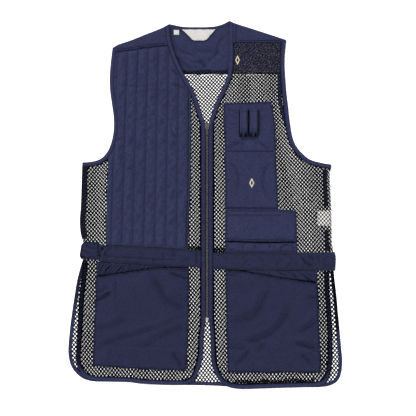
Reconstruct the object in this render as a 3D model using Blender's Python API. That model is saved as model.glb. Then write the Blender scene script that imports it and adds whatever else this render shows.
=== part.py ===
"""A shooting vest laid flat with its front up: mesh back and fronts, navy yokes, a quilted shoulder pad,
pockets, belts, bindings, cartridge loops, labels and a zip.

Lengths are in millimetres. +X is the right of someone who looks down on the vest, +Y runs to the neck,
and z = 0 is the surface that the vest lies on. The cloth lies in three levels: the back, the fronts,
and what is sewn on the fronts.
"""

import math

import bmesh
import bpy
from mathutils import Vector
from mathutils.geometry import delaunay_2d_cdt, intersect_line_line_2d

MM = 0.001
GAP = 0.3
STEP = 17
SMOOTH_BELOW = 40

# Walls of the cloths, and the levels that they make.
MESH_WALL = 1.2
CLOTH_WALL = 1.5
YOKE_WALL = 2.2
BELT_WALL = 2.4
LABEL_WALL = 0.6
BACK_TOP = MESH_WALL
FRONT_BASE = BACK_TOP + GAP
FRONT_TOP = FRONT_BASE + MESH_WALL
PATCH_BASE = FRONT_TOP + GAP
PATCH_TOP = PATCH_BASE + CLOTH_WALL
OVER_BASE = PATCH_TOP + GAP

# Bindings and bands: their widths, and how far their middles stand above their edges.
BINDING = 9.5
BACK_BINDING = 8.0
NECK_BAND = 7.0
SIDE_STRIP = 9.5
BINDING_TOP = 3.0
BINDING_RISE = 0.5

# Zip: the middle of its chain, the ends of its chain along Y, and the slider with its bail and pull tab.
ZIP_X = 4.0
CHAIN_WIDTH = 6.0
CHAIN_TOP = 3.3
CHAIN_Y = (-247.5, 180.0)
BOX_LENGTH = 6.5
BOX_TOP = 4.2
PLATE_BASE = 3.6
PLATE_TOP = 5.2
BAIL_Y = (169.5, 176.5)
BAIL_WIDTH = 1.8
BAIL_BAR = 1.2
BAIL_BEVEL = 0.8
BAIL_TOP = 9.3
PULL_AXIS_Y = 173.0
PULL_AXIS_Z = 7.0
PULL_WALL = 1.2
PULL_WINDOW = (3.8, 4.8)
# columns: y, half width
SLIDER_PLATE = ((166.5, 3.5), (174.0, 4.5), (178.5, 4.5))
# columns: y from the hinge axis, half width
PULL_TAB = ((-20.0, 0.9), (-19.1, 2.2), (-17.0, 3.0), (-8.0, 2.4), (0.6, 3.0))

# Quilting: the seam lines between the pad's upright channels fan out a little on their way down.
QUILT_Y = (316.0, -60.0)
QUILT_START = (-194.0, -206.5)
QUILT_PITCH = (22.7, 24.0)
QUILT_LOW = 1.7
QUILT_CROWN = 3.2
QUILT_SLOPE = 8.0
QUILT_CHANNELS = 9
QUILT_ROW = 17.0

# Cartridge loops: two arches of cloth that stand on the chest panel and close at their lower ends.
LOOP_EDGES = (73.8, 95.4, 117.2)
LOOP_WALL = 1.4
# columns: y, outer height, inner height
LOOP_STATIONS = (
    (208.8, 15.5, 14.1),
    (198.0, 16.0, 14.6),
    (182.0, 15.8, 14.4),
    (170.0, 14.6, 13.2),
    (162.0, 11.0, 9.4),
    (155.0, 6.0, 3.6),
    (149.6, 2.4, 0.6),
)

NAVY = (0.036, 0.042, 0.102)
DEEP_NAVY = (0.025, 0.029, 0.077)
BLACK = (0.006, 0.006, 0.008)
OFF_WHITE = (0.80, 0.78, 0.70)
CREAM = (0.66, 0.58, 0.36)
NICKEL = (0.42, 0.40, 0.36)

# Free edges: columns x and y. Each runs so that the vest is on the left of someone who walks along it.
SHOULDER_LEFT = ((-79, 398), (-95, 389.5), (-129, 376), (-162.5, 362.5), (-193, 352), (-204, 345.5))
ARMHOLE_LEFT = (
    (-204, 345.5), (-207.5, 316.5), (-210, 285), (-209.5, 253), (-206, 226), (-201.5, 193), (-201, 171),
    (-203, 153), (-207.5, 134), (-214.5, 118.5), (-227, 103.5), (-245, 96), (-270.5, 93.5),
)
SIDE_LEFT_HIGH = (
    (-270.5, 93.5), (-271.5, 61), (-273.5, 0), (-275.8, -35), (-274, -62), (-269.5, -82), (-268.5, -118),
    (-270.5, -124),
)
SIDE_LEFT_LOW = (
    (-270.5, -124), (-277, -146), (-282.6, -169.6), (-288, -202.6), (-292.7, -233.4), (-297.5, -271),
    (-301.3, -314), (-300.8, -331), (-297, -349), (-290.3, -362.3), (-279, -375), (-263, -384.5),
    (-243, -388.6),
)
BACK_HEM = (
    (-243, -388.6), (-168, -390), (-117, -394), (-55, -396), (0, -397), (42, -399), (85, -403.5),
    (122.7, -403.9), (168, -402.4), (213, -401.1), (249, -401.2),
)
SIDE_RIGHT_LOW = (
    (249, -401.2), (270, -398.4), (286, -391.5), (295.5, -380), (300.3, -362.3), (301.3, -340),
    (299.3, -316), (296, -280), (291.6, -233.4), (289, -202.6), (284.8, -167), (282.5, -146),
)
SIDE_RIGHT_HIGH = (
    (282.5, -146), (282, -104), (279, -70.6), (278, -15.6), (276.9, 18.5), (275, 60), (277.5, 89),
)
ARMHOLE_RIGHT = (
    (277.5, 89), (257.7, 92.2), (230.5, 100), (215, 112), (201, 128), (191.7, 149.4), (186, 182.4),
    (182.3, 215.4), (178.8, 244), (176.6, 272.6), (174.8, 303.4), (175, 327.6), (178.5, 362.8),
)
BACK_ARMHOLE_RIGHT = (
    (277.5, 89), (257.7, 92.2), (230.5, 100), (215, 112), (201, 128), (190.5, 149.4), (182, 178),
    (173, 206), (168, 238), (167, 272), (168, 303), (171.5, 330), (178.5, 362.8),
)
SHOULDER_RIGHT = ((178.5, 362.8), (145.5, 373.8), (100.7, 388.3), (64.8, 399.8), (52.9, 405.1))
BACK_NECK = (
    (52.9, 405.1), (44.6, 400.4), (33.3, 395.8), (15.3, 392), (-27.6, 391.2), (-50.3, 392.2), (-79, 398),
)
FRONT_SIDE_LEFT = (
    (-269.2, -121), (-271, -150), (-277, -198), (-280, -253), (-282.6, -297), (-284.5, -336), (-282, -354),
    (-274.5, -370), (-262, -381.5), (-243, -387.4),
)
FRONT_HEM_LEFT = (
    (-243, -387.4), (-207, -388.7), (-168, -389.6), (-140, -393.5), (-84, -396), (-50, -396.2),
)
FRONT_EDGE_LEFT = (
    (-50, -396.2), (-37, -393.5), (-23.5, -385), (-12, -360), (-5, -330), (-3.2, -290), (0.5, -257),
)
NECKLINE_LEFT = (
    (0.5, 180), (-7.6, 200), (-14, 222), (-23, 247), (-44, 283.6), (-54, 303), (-67, 333), (-76, 364),
    (-79, 398),
)
NECKLINE_RIGHT = (
    (52.9, 405.1), (52.4, 363), (52.6, 319), (48.2, 284), (35, 251.5), (23, 226.4), (14, 200), (7.5, 180),
)
FRONT_EDGE_RIGHT = (
    (7.5, -255), (10.7, -280), (12, -322), (13.5, -346), (20, -368), (29.5, -385), (42, -396), (56, -402.2),
)
FRONT_HEM_RIGHT = (
    (56, -402.2), (72, -404.4), (90, -405), (122.7, -403.9), (168, -402.4), (213, -401.1), (246, -400),
)
FRONT_SIDE_RIGHT = (
    (246, -400), (262, -394.5), (272.5, -379), (278.3, -352), (280, -308), (276.5, -231), (273, -187),
    (272, -146),
)

# Seams inside the outline: columns x and y, from left to right or from the neck down.
BACK_YOKE_SEAM = ((-240, 287), (-80, 287), (200, 288))
YOKE_SEAM_LEFT = ((-215, 334.5), (-194, 337), (-162.5, 341.2), (-117.6, 347.6), (-60, 353.5))
YOKE_SEAM_RIGHT = ((40, 356.4), (110, 356.8), (200, 357.2))
PAD_LEFT = ((-213.4, 100), (-216.4, 30.6), (-217.5, -15.6), (-219.5, -50), (-217, -100))
PAD_RIGHT = ((-31, 260), (-31.3, 150), (-32.2, 52.6), (-35.5, -37.6), (-37.3, -110))
PAD_HEM = ((-240, -87), (-184.9, -90.4), (-117.6, -93.9), (0, -101.4))
BELT_LEFT_LOW = ((-245, -124.8), (-185, -128), (-117.6, -132.4), (-34.4, -137.2), (0, -137.5))
POCKET_MOUTH_LEFT = (
    (-250, -158.5), (-233, -156.4), (-185, -149.8), (-117.6, -140.1), (-86, -138.2), (-20, -138.8),
)
BELT_RIGHT_HIGH = ((0, -105.4), (150, -105.2), (295, -103.5))
BELT_RIGHT_LOW = ((0, -141.2), (120, -143.4), (295, -145.4))
POCKET_MOUTH_RIGHT = (
    (30, -142.5), (60, -144), (87.5, -147.4), (122.7, -152.4), (179.2, -162.6), (213, -167.6), (260, -175),
)
POCKET_LEFT_OUTER = ((-239.5, -140), (-240.6, -167.4), (-242.1, -211.4), (-245.9, -301.6), (-248.4, -370))
POCKET_LEFT_LOW = ((-260, -353.2), (-162.5, -360.1), (-95.2, -363.2), (-30, -364.8))
POCKET_LEFT_INNER = ((-35.3, -125), (-35.3, -189.4), (-36.2, -256.7), (-38, -301.6), (-41, -375))
POCKET_RIGHT_INNER = ((43.4, -130), (45.7, -233.4), (47.2, -301.6), (48.8, -380))
POCKET_RIGHT_LOW = ((40, -369.2), (262, -369.4))
POCKET_RIGHT_OUTER = ((246, -160), (248.9, -211.4), (251.1, -268.6), (253.3, -323.6), (254.7, -380))
GATHER_LEFT_END = -62.0
GATHER_RIGHT_START = 92.0
BELT_LEFT_START = -234.1
BELT_RIGHT_END = ((283.4, -160), (287, -119), (282.4, -92))

# Whole outlines of small patches: columns x and y, round the patch with its inside on the left.
TAB_LEFT = ((-234.4, -82), (-266, -80.4), (-272.6, -88), (-276.6, -112), (-273, -118.6), (-234.4, -121.6))
CHEST_PANEL = (
    (43.9, -8), (160.9, -9.4), (160.5, 10), (157, 76.8), (155.7, 136.2), (153.2, 182.4), (149, 213),
    (145.5, 226.8), (83.1, 225.7), (39.6, 223.3), (42, 150), (43.2, 50),
)
CHEST_POCKET = ((43.5, -104.7), (202.4, -104.7), (201.6, -60), (200.2, -13.6), (164, -9.8), (44.2, -8.4))
CHEST_FLAP = (
    (42.6, -78.8), (120, -80.6), (201, -80.7), (201.2, -40), (199.8, -12.6), (163, -10), (44.2, -8.6),
)
NECK_LABEL = ((-52.5, 386.2), (-44, 379), (-29, 363.6), (-23, 361.2), (-4, 361.2), (3, 363.4), (23, 386.2))
SIZE_TAG = ((-69.2, 373.8), (-57.4, 373.8), (-57.4, 385), (-69.2, 385))
CARE_LABEL = ((246.5, -46.4), (275, -46.4), (275, -13), (246.5, -13))
LABEL_LIFT = 1.1
LIFT_MARGIN = 2.0
LIFT_SLOPE = 7.0
LIFT_CELL = 4.4

# Plain diamond marks: middle x and y, half width, half height.
MESH_MARK = (71.0, 318.4, 5.2, 10.5)
PANEL_MARK = (102.3, 48.2, 5.6, 11.0)

# Stretches of the seam strips above the waist: highest and lowest y.
SEAM_LEFT_Y = (84.0, -76.0)
SEAM_RIGHT_Y = ((77.0, -3.5), (-56.0, -101.5))
SEAM_LEFT_WIDTH = 12.5
SEAM_WALL = 1.0
SEAM_RIGHT_INSET = 7.5

# Folds of the lower cloth: how full it is, how far from its edge it is at its fullest, and its grids.
POCKET_FULLNESS = 3.2
POCKET_SLOPE = 42.0
POCKET_CELL = 12.0
FLAP_FULLNESS = 1.2
FLAP_SLOPE = 18.0
GATHER_PITCH = 15.0
GATHER_RISE = 2.4
GATHER_SLANT = 0.75
GATHER_SLOPE = 7.0
GATHER_CELL = 4.6

# Creases of the pockets. columns: depth, half width, points of the line
CREASES_LEFT = (
    (2.2, 6, ((-239, -208), (-208, -192))),
    (1.6, 8, ((-238, -314), (-201, -288))),
    (1.4, 7, ((-216, -307), (-134, -270))),
    (1.5, 9, ((-242, -270), (-214, -264), (-183, -252))),
    (2.2, 13, ((-37, -228), (-78, -215), (-107, -181), (-117, -162))),
    (2.0, 13, ((-38, -250), (-85, -272), (-117, -301), (-146, -313))),
    (1.5, 5, ((-73, -153), (-38, -163))),
    (1.3, 6, ((-73, -325), (-51, -354))),
)
CREASES_RIGHT = (
    (2.0, 12, ((50, -255), (103, -244), (123, -220), (140, -178))),
    (2.2, 9, ((64, -350), (90, -323), (145, -284), (164, -264), (184, -232))),
    (1.2, 6, ((89, -298), (113, -291))),
    (2.4, 8, ((195, -303), (248, -314))),
    (1.5, 9, ((204, -281), (248, -251))),
    (1.8, 6, ((228, -199), (247, -202))),
    (1.3, 7, ((211, -325), (233, -347))),
)


def clear_scene():
    for obj in list(bpy.data.objects):
        bpy.data.objects.remove(obj, do_unlink=True)


def finish(name, colour, roughness, metallic):
    """A plain Principled material, one for each object."""
    material = bpy.data.materials.new(name)
    material.use_nodes = True
    shader = material.node_tree.nodes["Principled BSDF"]
    shader.inputs["Base Color"].default_value = (*colour, 1)
    shader.inputs["Roughness"].default_value = roughness
    shader.inputs["Metallic"].default_value = metallic
    return material


def add_body(name, points, faces, colour, roughness=0.85, metallic=0.0):
    """Makes one closed body from points in millimetres, with its faces turned outwards."""
    mesh = bpy.data.meshes.new(name)
    mesh.from_pydata([Vector(point) * MM for point in points], [], faces)
    shape = bmesh.new()
    shape.from_mesh(mesh)
    bmesh.ops.recalc_face_normals(shape, faces=shape.faces)
    shape.to_mesh(mesh)
    shape.free()
    mesh.materials.append(finish(name, colour, roughness, metallic))
    mesh.shade_smooth()
    mesh.set_sharp_from_angle(angle=math.radians(SMOOTH_BELOW))
    obj = bpy.data.objects.new(name, mesh)
    bpy.context.scene.collection.objects.link(obj)
    return obj


def smooth(points, step=STEP):
    """Points about a step apart on a smooth curve through the named points."""
    knots = [Vector(point) for point in points]
    ends = [2 * knots[0] - knots[1], *knots, 2 * knots[-1] - knots[-2]]
    path = [knots[0]]
    for before, start, end, after in zip(ends, ends[1:], ends[2:], ends[3:]):
        length = (end - start).length
        leave = (end - before) * length / (length + (start - before).length)
        arrive = (after - start) * length / (length + (after - end).length)
        count = max(1, round(length / step))
        for i in range(1, count + 1):
            t = i / count
            path.append(
                start * (2 * t**3 - 3 * t**2 + 1)
                + leave * (t**3 - 2 * t**2 + t)
                + end * (3 * t**2 - 2 * t**3)
                + arrive * (t**3 - t**2)
            )
    return path


def left_normals(path):
    """At each point the sideways vector that keeps an offset of 1 square to both neighbouring runs."""
    runs = [(b - a).normalized() for a, b in zip(path, path[1:])]
    turned = [Vector((-run.y, run.x)) for run in runs]
    normals = [turned[0]]
    for a, b in zip(turned, turned[1:]):
        normals.append((a + b) / (1 + a.dot(b)))
    return [*normals, turned[-1]]


def offset(path, distance):
    return [point + normal * distance for point, normal in zip(path, left_normals(path))]


def edge(points, inset=0.0):
    return offset(smooth(points), inset)


def front_edge_left():
    """The free edge of the left front from the hem to the top of the zip."""
    return [*smooth(FRONT_EDGE_LEFT), Vector((FRONT_EDGE_LEFT[-1][0], 0)), Vector(NECKLINE_LEFT[0])]


def front_edge_right():
    """The free edge of the right front from the top of the zip to the hem."""
    return [Vector(NECKLINE_RIGHT[-1]), Vector((FRONT_EDGE_RIGHT[0][0], 0)), *smooth(FRONT_EDGE_RIGHT)]


def meet(first, second, reach=40.0, near=1.5):
    """Trims or lengthens two runs so that the first ends where the second starts."""
    if (first[-1] - second[0]).length < near:
        return first, [first[-1], *second[1:]]
    first = [*first, first[-1] + (first[-1] - first[-2]).normalized() * reach]
    second = [second[0] + (second[0] - second[1]).normalized() * reach, *second]
    pairs = [(i, j) for i in range(len(first) - 1) for j in range(len(second) - 1)]
    for i, j in sorted(pairs, key=lambda pair: pair[1] - pair[0]):
        point = intersect_line_line_2d(first[i], first[i + 1], second[j], second[j + 1])
        if point:
            return [*first[: i + 1], point], [point, *second[j + 1 :]]
    raise ValueError(f"two edges of one outline don't meet near {first[-1]} and {second[0]}")


def outline(*runs):
    """A closed outline from runs that follow each other, cut where they cross."""
    runs = [list(run) for run in runs]
    for i in range(len(runs)):
        j = (i + 1) % len(runs)
        runs[i], runs[j] = meet(runs[i], runs[j])
    points = []
    for run in runs:
        for point in run[:-1]:
            if not points or (point - points[-1]).length > 1.0:
                points.append(point)
    return points


def level_run(x, y, reach=25.0):
    """A short run to the right, where an outline steps from one inset to another."""
    return [Vector((x - reach, y)), Vector((x + reach, y))]


def upright_run(x, high, low):
    return [Vector((x, high)), Vector((x, low))]


def nearest_on(point, a, b):
    """The place on the run from a to b that is nearest to the point."""
    run = b - a
    return a + run * min(1, max(0, (point - a).dot(run) / run.length_squared))


def apart(point, others, distance):
    return all((point - other).length > distance for other in others)


def inside(point, loop):
    """Whether the point is in the loop, and how far it is from the loop's sides."""
    odd = False
    nearest = math.inf
    for a, b in zip(loop, [*loop[1:], loop[0]]):
        if (a.y > point.y) != (b.y > point.y):
            if point.x < a.x + (b.x - a.x) * (point.y - a.y) / (b.y - a.y):
                odd = not odd
        nearest = min(nearest, (nearest_on(point, a, b) - point).length)
    return odd, nearest


def grid_points(loop, cell, window=None):
    """Points of a square grid inside the loop and clear of its sides, or only those inside a window too."""
    low_x, high_x = min(p.x for p in loop), max(p.x for p in loop)
    low_y, high_y = min(p.y for p in loop), max(p.y for p in loop)
    if window:
        (low_x, low_y), (high_x, high_y) = window
    found = []
    for i in range(int((high_x - low_x) / cell) + 1):
        for j in range(int((high_y - low_y) / cell) + 1):
            point = Vector((low_x + (i + 0.5) * cell, low_y + (j + 0.5) * cell))
            within, distance = inside(point, loop)
            if within and distance > 0.5 * cell:
                found.append(point)
    return found


def triangulated(loop, inner=()):
    """Points and triangles of the flat region inside the loop; the loop's own points come first."""
    points = [*loop, *inner]
    made, _, faces, sources, _, owners = delaunay_2d_cdt(points, [], [list(range(len(loop)))], 1, 1e-5, True)
    if len(made) != len(points):
        raise ValueError("an outline crosses itself")
    source = [min(ids) for ids in sources]
    return points, [[source[k] for k in face] for face, owner in zip(faces, owners) if owner]


def height_of(value, point):
    return value(point) if callable(value) else value


def slab(name, loop, base, top, colour, inner=()):
    """A wall of cloth inside the loop. Base and top are heights, or functions of a point."""
    points, upper = triangulated(loop, inner)
    _, lower = triangulated(loop, inner if callable(base) else ())
    count = len(points)
    low_count = count if callable(base) else len(loop)
    solid = [(p.x, p.y, height_of(top, p)) for p in points]
    solid += [(p.x, p.y, height_of(base, p)) for p in points[:low_count]]
    faces = [list(face) for face in upper]
    faces += [[count + k for k in reversed(face)] for face in lower]
    around = len(loop)
    faces += [[k, count + k, count + (k + 1) % around, (k + 1) % around] for k in range(around)]
    return add_body(name, solid, faces, colour)


def strip(name, path, width, base, top, colour, rise=0.0, cuts=(None, None)):
    """A binding with its free edge on the path and its body on the path's left. Cuts are the directions of
    its ends, which are square where none is given."""
    share = (0.0, 0.0, 0.5, 1.0, 1.0) if rise else (0.0, 0.0, 1.0, 1.0)
    level = (base, top, top + rise, top, base) if rise else (base, top, top, base)
    normals = left_normals(path)
    for i, cut in zip((0, -1), cuts):
        if cut:
            normals[i] = cut / cut.dot(normals[i])
    points = []
    for point, normal in zip(path, normals):
        for across, z in zip(share, level):
            place = point + normal * across * width
            points.append((place.x, place.y, z))
    ring = len(share)
    faces = [list(range(ring)), list(range(len(points) - ring, len(points)))]
    for k in range(len(path) - 1):
        for i in range(ring):
            j = (i + 1) % ring
            faces.append([k * ring + i, k * ring + j, (k + 1) * ring + j, (k + 1) * ring + i])
    return add_body(name, points, faces, colour)


def mitre(first, second):
    """The direction of the cut between two strips where the first path ends and the second starts."""
    before = (first[-1] - first[-2]).normalized()
    after = (second[1] - second[0]).normalized()
    middle = before + after
    return Vector((-middle.y, middle.x))


def strip_chain(trims, first_cut, last_cut, base, top, rise=0.0):
    """Strips that follow each other with a mitred gap between neighbours. Trims are names, paths, widths
    and colours."""
    paths = [path for _, path, _, _ in trims]
    cuts = [first_cut, *(mitre(a, b) for a, b in zip(paths, paths[1:])), last_cut]
    for (name, path, width, colour), start, end in zip(trims, cuts, cuts[1:]):
        strip(name, shortened(path), width, base, top, colour, rise, (start, end))


def shortened(path, length=GAP / 2):
    """The path with a length taken off both ends."""
    for _ in range(2):
        run = path[1] - path[0]
        path = [path[0] + run.normalized() * length, *path[1:]][::-1]
    return path


def direction(start, end):
    return Vector(end) - Vector(start)


def back_along(points):
    """The direction in which an edge is left from its end, back towards its start."""
    return direction(points[-1], points[-2])


def stretch(path, high, low):
    """The part of an upright path that lies between two levels, with its ends on them."""
    path = sorted(path, key=lambda point: -point.y)
    found = []
    for a, b in zip(path, path[1:]):
        for level in (high, low):
            if b.y < level <= a.y:
                found.append(a.lerp(b, (a.y - level) / (a.y - b.y)))
        if low < b.y < high:
            found.append(b)
    return sorted(found, key=lambda point: -point.y)


def corners(points):
    return [Vector(point) for point in points]


def rectangle(left, right, low, high):
    return corners(((left, low), (right, low), (right, high), (left, high)))


def mirrored(rows, middle):
    """A closed outline with the same half width on both sides of an upright middle line."""
    right = [(middle + half, y) for y, half in rows]
    left = [(middle - half, y) for y, half in reversed(rows)]
    return corners([*right, *left])


def wave(point):
    """Soft waves of the cloth, from -1 to 1."""
    x, y = point
    return 0.5 * math.sin(x / 31 + 0.9 * math.sin(y / 47)) + 0.5 * math.sin(y / 37 + 0.8 * math.sin(x / 53))


def eased(share):
    share = min(1, max(0, share))
    return share * share * (3 - 2 * share)


def build_back():
    """The mesh back, its navy yoke, and the bindings round both."""
    inset = BACK_BINDING + GAP
    seam = smooth(BACK_YOKE_SEAM)
    waist_left = Vector(SIDE_LEFT_LOW[0])
    waist_right = Vector(SIDE_RIGHT_LOW[-1])
    loop = outline(
        edge(ARMHOLE_LEFT, inset),
        edge(SIDE_LEFT_HIGH),
        level_run(waist_left.x, waist_left.y + GAP / 2),
        edge(SIDE_LEFT_LOW, inset),
        edge(BACK_HEM, inset),
        edge(SIDE_RIGHT_LOW, inset),
        level_run(waist_right.x, waist_right.y + GAP / 2),
        edge(SIDE_RIGHT_HIGH),
        edge(BACK_ARMHOLE_RIGHT, inset),
        offset(seam, -GAP / 2)[::-1],
    )
    slab("back_mesh", loop, 0, BACK_TOP, BLACK)
    loop = outline(
        edge(SHOULDER_LEFT),
        edge(ARMHOLE_LEFT, inset),
        offset(seam, GAP / 2),
        edge(BACK_ARMHOLE_RIGHT, inset),
        edge(SHOULDER_RIGHT),
        edge(BACK_NECK, NECK_BAND + GAP),
    )
    slab("back_yoke", loop, 0, BACK_TOP, NAVY)
    level = Vector((1, 0))
    strip_chain(
        (
            ("back_side_binding_left", smooth(SIDE_LEFT_LOW), BACK_BINDING, NAVY),
            ("back_hem_binding", smooth(BACK_HEM), BACK_BINDING, NAVY),
            ("back_side_binding_right", smooth(SIDE_RIGHT_LOW), BACK_BINDING, NAVY),
        ),
        level,
        -level,
        0,
        BACK_TOP,
    )
    trims = (
        ("back_neck_binding", BACK_NECK, NECK_BAND, SHOULDER_RIGHT, SHOULDER_LEFT),
        ("back_armhole_binding_left", ARMHOLE_LEFT, BACK_BINDING, SHOULDER_LEFT, SIDE_LEFT_HIGH),
        ("back_armhole_binding_right", BACK_ARMHOLE_RIGHT, BACK_BINDING, SIDE_RIGHT_HIGH, SHOULDER_RIGHT),
    )
    for name, points, width, before, after in trims:
        cuts = (back_along(before), direction(*after[:2]))
        strip(name, shortened(smooth(points)), width, 0, BACK_TOP, NAVY, 0, cuts)


def label_lift(point):
    """How far the right front rises over the care label under it."""
    low, high = Vector(CARE_LABEL[0]), Vector(CARE_LABEL[2])
    out = max(low.x - point.x, point.x - high.x, low.y - point.y, point.y - high.y, 0)
    return LABEL_LIFT * eased(1 - (out - LIFT_MARGIN) / LIFT_SLOPE)


def build_front_panels():
    """Mesh panels from the yokes to the hems, and the yokes over them."""
    inset = BINDING + GAP
    side = SIDE_STRIP + GAP
    waist_left = Vector(FRONT_SIDE_LEFT[0])
    waist_right = Vector(FRONT_SIDE_RIGHT[-1])
    seam = smooth(YOKE_SEAM_LEFT)
    loop = outline(
        edge(ARMHOLE_LEFT, inset),
        edge(SIDE_LEFT_HIGH)[:-1],
        level_run(waist_left.x, waist_left.y + GAP / 2),
        edge(FRONT_SIDE_LEFT, side),
        edge(FRONT_HEM_LEFT, inset),
        offset(front_edge_left(), inset),
        edge(NECKLINE_LEFT, inset),
        offset(seam, -GAP / 2)[::-1],
    )
    slab("front_mesh_left", loop, FRONT_BASE, FRONT_TOP, BLACK)
    loop = outline(
        edge(SHOULDER_LEFT),
        edge(ARMHOLE_LEFT, inset),
        offset(seam, GAP / 2),
        edge(NECKLINE_LEFT, inset),
    )
    slab("front_yoke_left", loop, FRONT_BASE, FRONT_BASE + YOKE_WALL, NAVY)
    seam = smooth(YOKE_SEAM_RIGHT)
    loop = outline(
        edge(NECKLINE_RIGHT, inset),
        offset(front_edge_right(), inset),
        edge(FRONT_HEM_RIGHT, inset),
        edge(FRONT_SIDE_RIGHT, side),
        level_run(waist_right.x, waist_right.y + GAP / 2),
        edge(SIDE_RIGHT_HIGH),
        edge(ARMHOLE_RIGHT, inset),
        offset(seam, -GAP / 2)[::-1],
    )
    reach = Vector((1, 1)) * (LIFT_MARGIN + LIFT_SLOPE)
    inner = grid_points(loop, LIFT_CELL, (Vector(CARE_LABEL[0]) - reach, Vector(CARE_LABEL[2]) + reach))
    slab(
        "front_mesh_right",
        loop,
        lambda point: FRONT_BASE + label_lift(point),
        lambda point: FRONT_TOP + label_lift(point),
        BLACK,
        inner,
    )
    loop = outline(
        edge(SHOULDER_RIGHT),
        edge(NECKLINE_RIGHT, inset),
        offset(seam, GAP / 2),
        edge(ARMHOLE_RIGHT, inset),
    )
    slab("front_yoke_right", loop, FRONT_BASE, FRONT_BASE + YOKE_WALL, NAVY)


def build_front_trims():
    """Bindings round the fronts, bands beside the zip, and the dark seam strips at the sides."""
    level = Vector((1, 0))
    strip_chain(
        (("armhole_binding_left", smooth(ARMHOLE_LEFT), BINDING, NAVY),),
        back_along(SHOULDER_LEFT),
        direction(*SIDE_LEFT_HIGH[:2]),
        FRONT_BASE,
        BINDING_TOP,
        BINDING_RISE,
    )
    strip_chain(
        (("armhole_binding_right", smooth(ARMHOLE_RIGHT), BINDING, NAVY),),
        back_along(SIDE_RIGHT_HIGH),
        direction(*SHOULDER_RIGHT[:2]),
        FRONT_BASE,
        BINDING_TOP,
        BINDING_RISE,
    )
    strip_chain(
        (
            ("front_side_binding_left", smooth(FRONT_SIDE_LEFT), SIDE_STRIP, BLACK),
            ("front_hem_binding_left", smooth(FRONT_HEM_LEFT), BINDING, NAVY),
            ("front_band_left", front_edge_left(), BINDING, NAVY),
            ("neck_binding_left", smooth(NECKLINE_LEFT), BINDING, NAVY),
        ),
        level,
        direction(*SHOULDER_LEFT[:2]),
        FRONT_BASE,
        BINDING_TOP,
        BINDING_RISE,
    )
    strip_chain(
        (
            ("neck_binding_right", smooth(NECKLINE_RIGHT), BINDING, NAVY),
            ("front_band_right", front_edge_right(), BINDING, NAVY),
            ("front_hem_binding_right", smooth(FRONT_HEM_RIGHT), BINDING, NAVY),
            ("front_side_binding_right", smooth(FRONT_SIDE_RIGHT), SIDE_STRIP, BLACK),
        ),
        back_along(SHOULDER_RIGHT),
        -level,
        FRONT_BASE,
        BINDING_TOP,
        BINDING_RISE,
    )
    seam_top = PATCH_BASE + SEAM_WALL
    path = stretch(smooth(SIDE_LEFT_HIGH), *SEAM_LEFT_Y)
    strip("side_seam_left", path, SEAM_LEFT_WIDTH, PATCH_BASE, seam_top, BLACK)
    path = offset(smooth(SIDE_RIGHT_HIGH), SEAM_RIGHT_INSET)
    for name, (high, low) in zip(("side_seam_right_high", "side_seam_right_low"), SEAM_RIGHT_Y):
        strip(name, stretch(path, high, low)[::-1], SIDE_STRIP, PATCH_BASE, seam_top, BLACK)


def quilt_line(y, k):
    """Where seam line k of the quilting crosses the level y, and how far the next line is from it."""
    share = (QUILT_Y[0] - y) / (QUILT_Y[0] - QUILT_Y[1])
    start = QUILT_START[0] + share * (QUILT_START[1] - QUILT_START[0])
    pitch = QUILT_PITCH[0] + share * (QUILT_PITCH[1] - QUILT_PITCH[0])
    return start + k * pitch, pitch


def build_pad():
    """The quilted pad: a plain underside, and a top raised between the upright seam lines."""
    loop = outline(
        edge(YOKE_SEAM_LEFT, -GAP / 2)[::-1],
        edge(ARMHOLE_LEFT, BINDING + GAP),
        edge(PAD_LEFT),
        edge(PAD_HEM, GAP / 2),
        edge(PAD_RIGHT)[::-1],
        edge(NECKLINE_LEFT, BINDING + GAP),
    )

    def top(point):
        start, pitch = quilt_line(point.y, 0)
        across = (point.x - start) / pitch % 1.0
        _, distance = inside(point, loop)
        rise = QUILT_CROWN * math.sin(math.pi * across) ** 0.7 * eased(distance / QUILT_SLOPE)
        return PATCH_BASE + QUILT_LOW + rise

    # Points on the seam lines and at each quarter of the channels between them.
    high, low = max(point.y for point in loop), min(point.y for point in loop)
    inner = []
    for row in range(int((high - low) / QUILT_ROW) + 1):
        y = high - row * QUILT_ROW
        for quarter in range(-4, 4 * QUILT_CHANNELS):
            point = Vector((quilt_line(y, quarter / 4)[0], y))
            within, distance = inside(point, loop)
            if within and distance > QUILT_SLOPE / 3:
                inner.append(point)
    slab("shoulder_pad", loop, PATCH_BASE, top, NAVY, inner)


def crease_depth(point, creases):
    """How deep the point lies in the deepest crease near it."""
    deepest = 0
    for depth, half_width, line in creases:
        path = smooth(line)
        run = min((nearest_on(point, a, b) - point).length for a, b in zip(path, path[1:]))
        deepest = max(deepest, depth * math.exp(-((run / half_width) ** 2)))
    return deepest


def crease_points(loop, creases):
    """Points along each crease and along both of its shoulders."""
    found = []
    for _, half_width, line in creases:
        path = smooth(line)
        for side in (-half_width, 0, half_width):
            for point in offset(path, side):
                within, distance = inside(point, loop)
                if within and distance > POCKET_CELL / 3 and apart(point, found, half_width / 2):
                    found.append(point)
    return found


def pocket(name, loop, creases):
    """A lower pocket's outer cloth: flat where it is sewn down, fuller in its middle, with its creases."""

    def top(point):
        _, distance = inside(point, loop)
        full = POCKET_FULLNESS * (0.7 + 0.3 * wave(point)) * eased(distance / POCKET_SLOPE)
        return PATCH_TOP + full - crease_depth(point, creases) * eased(0.4 + distance / POCKET_SLOPE)

    inner = crease_points(loop, creases)
    inner += [point for point in grid_points(loop, POCKET_CELL) if apart(point, inner, POCKET_CELL / 2)]
    slab(name, loop, PATCH_BASE, lambda point: max(top(point), PATCH_BASE + 1), DEEP_NAVY, inner)


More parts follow.
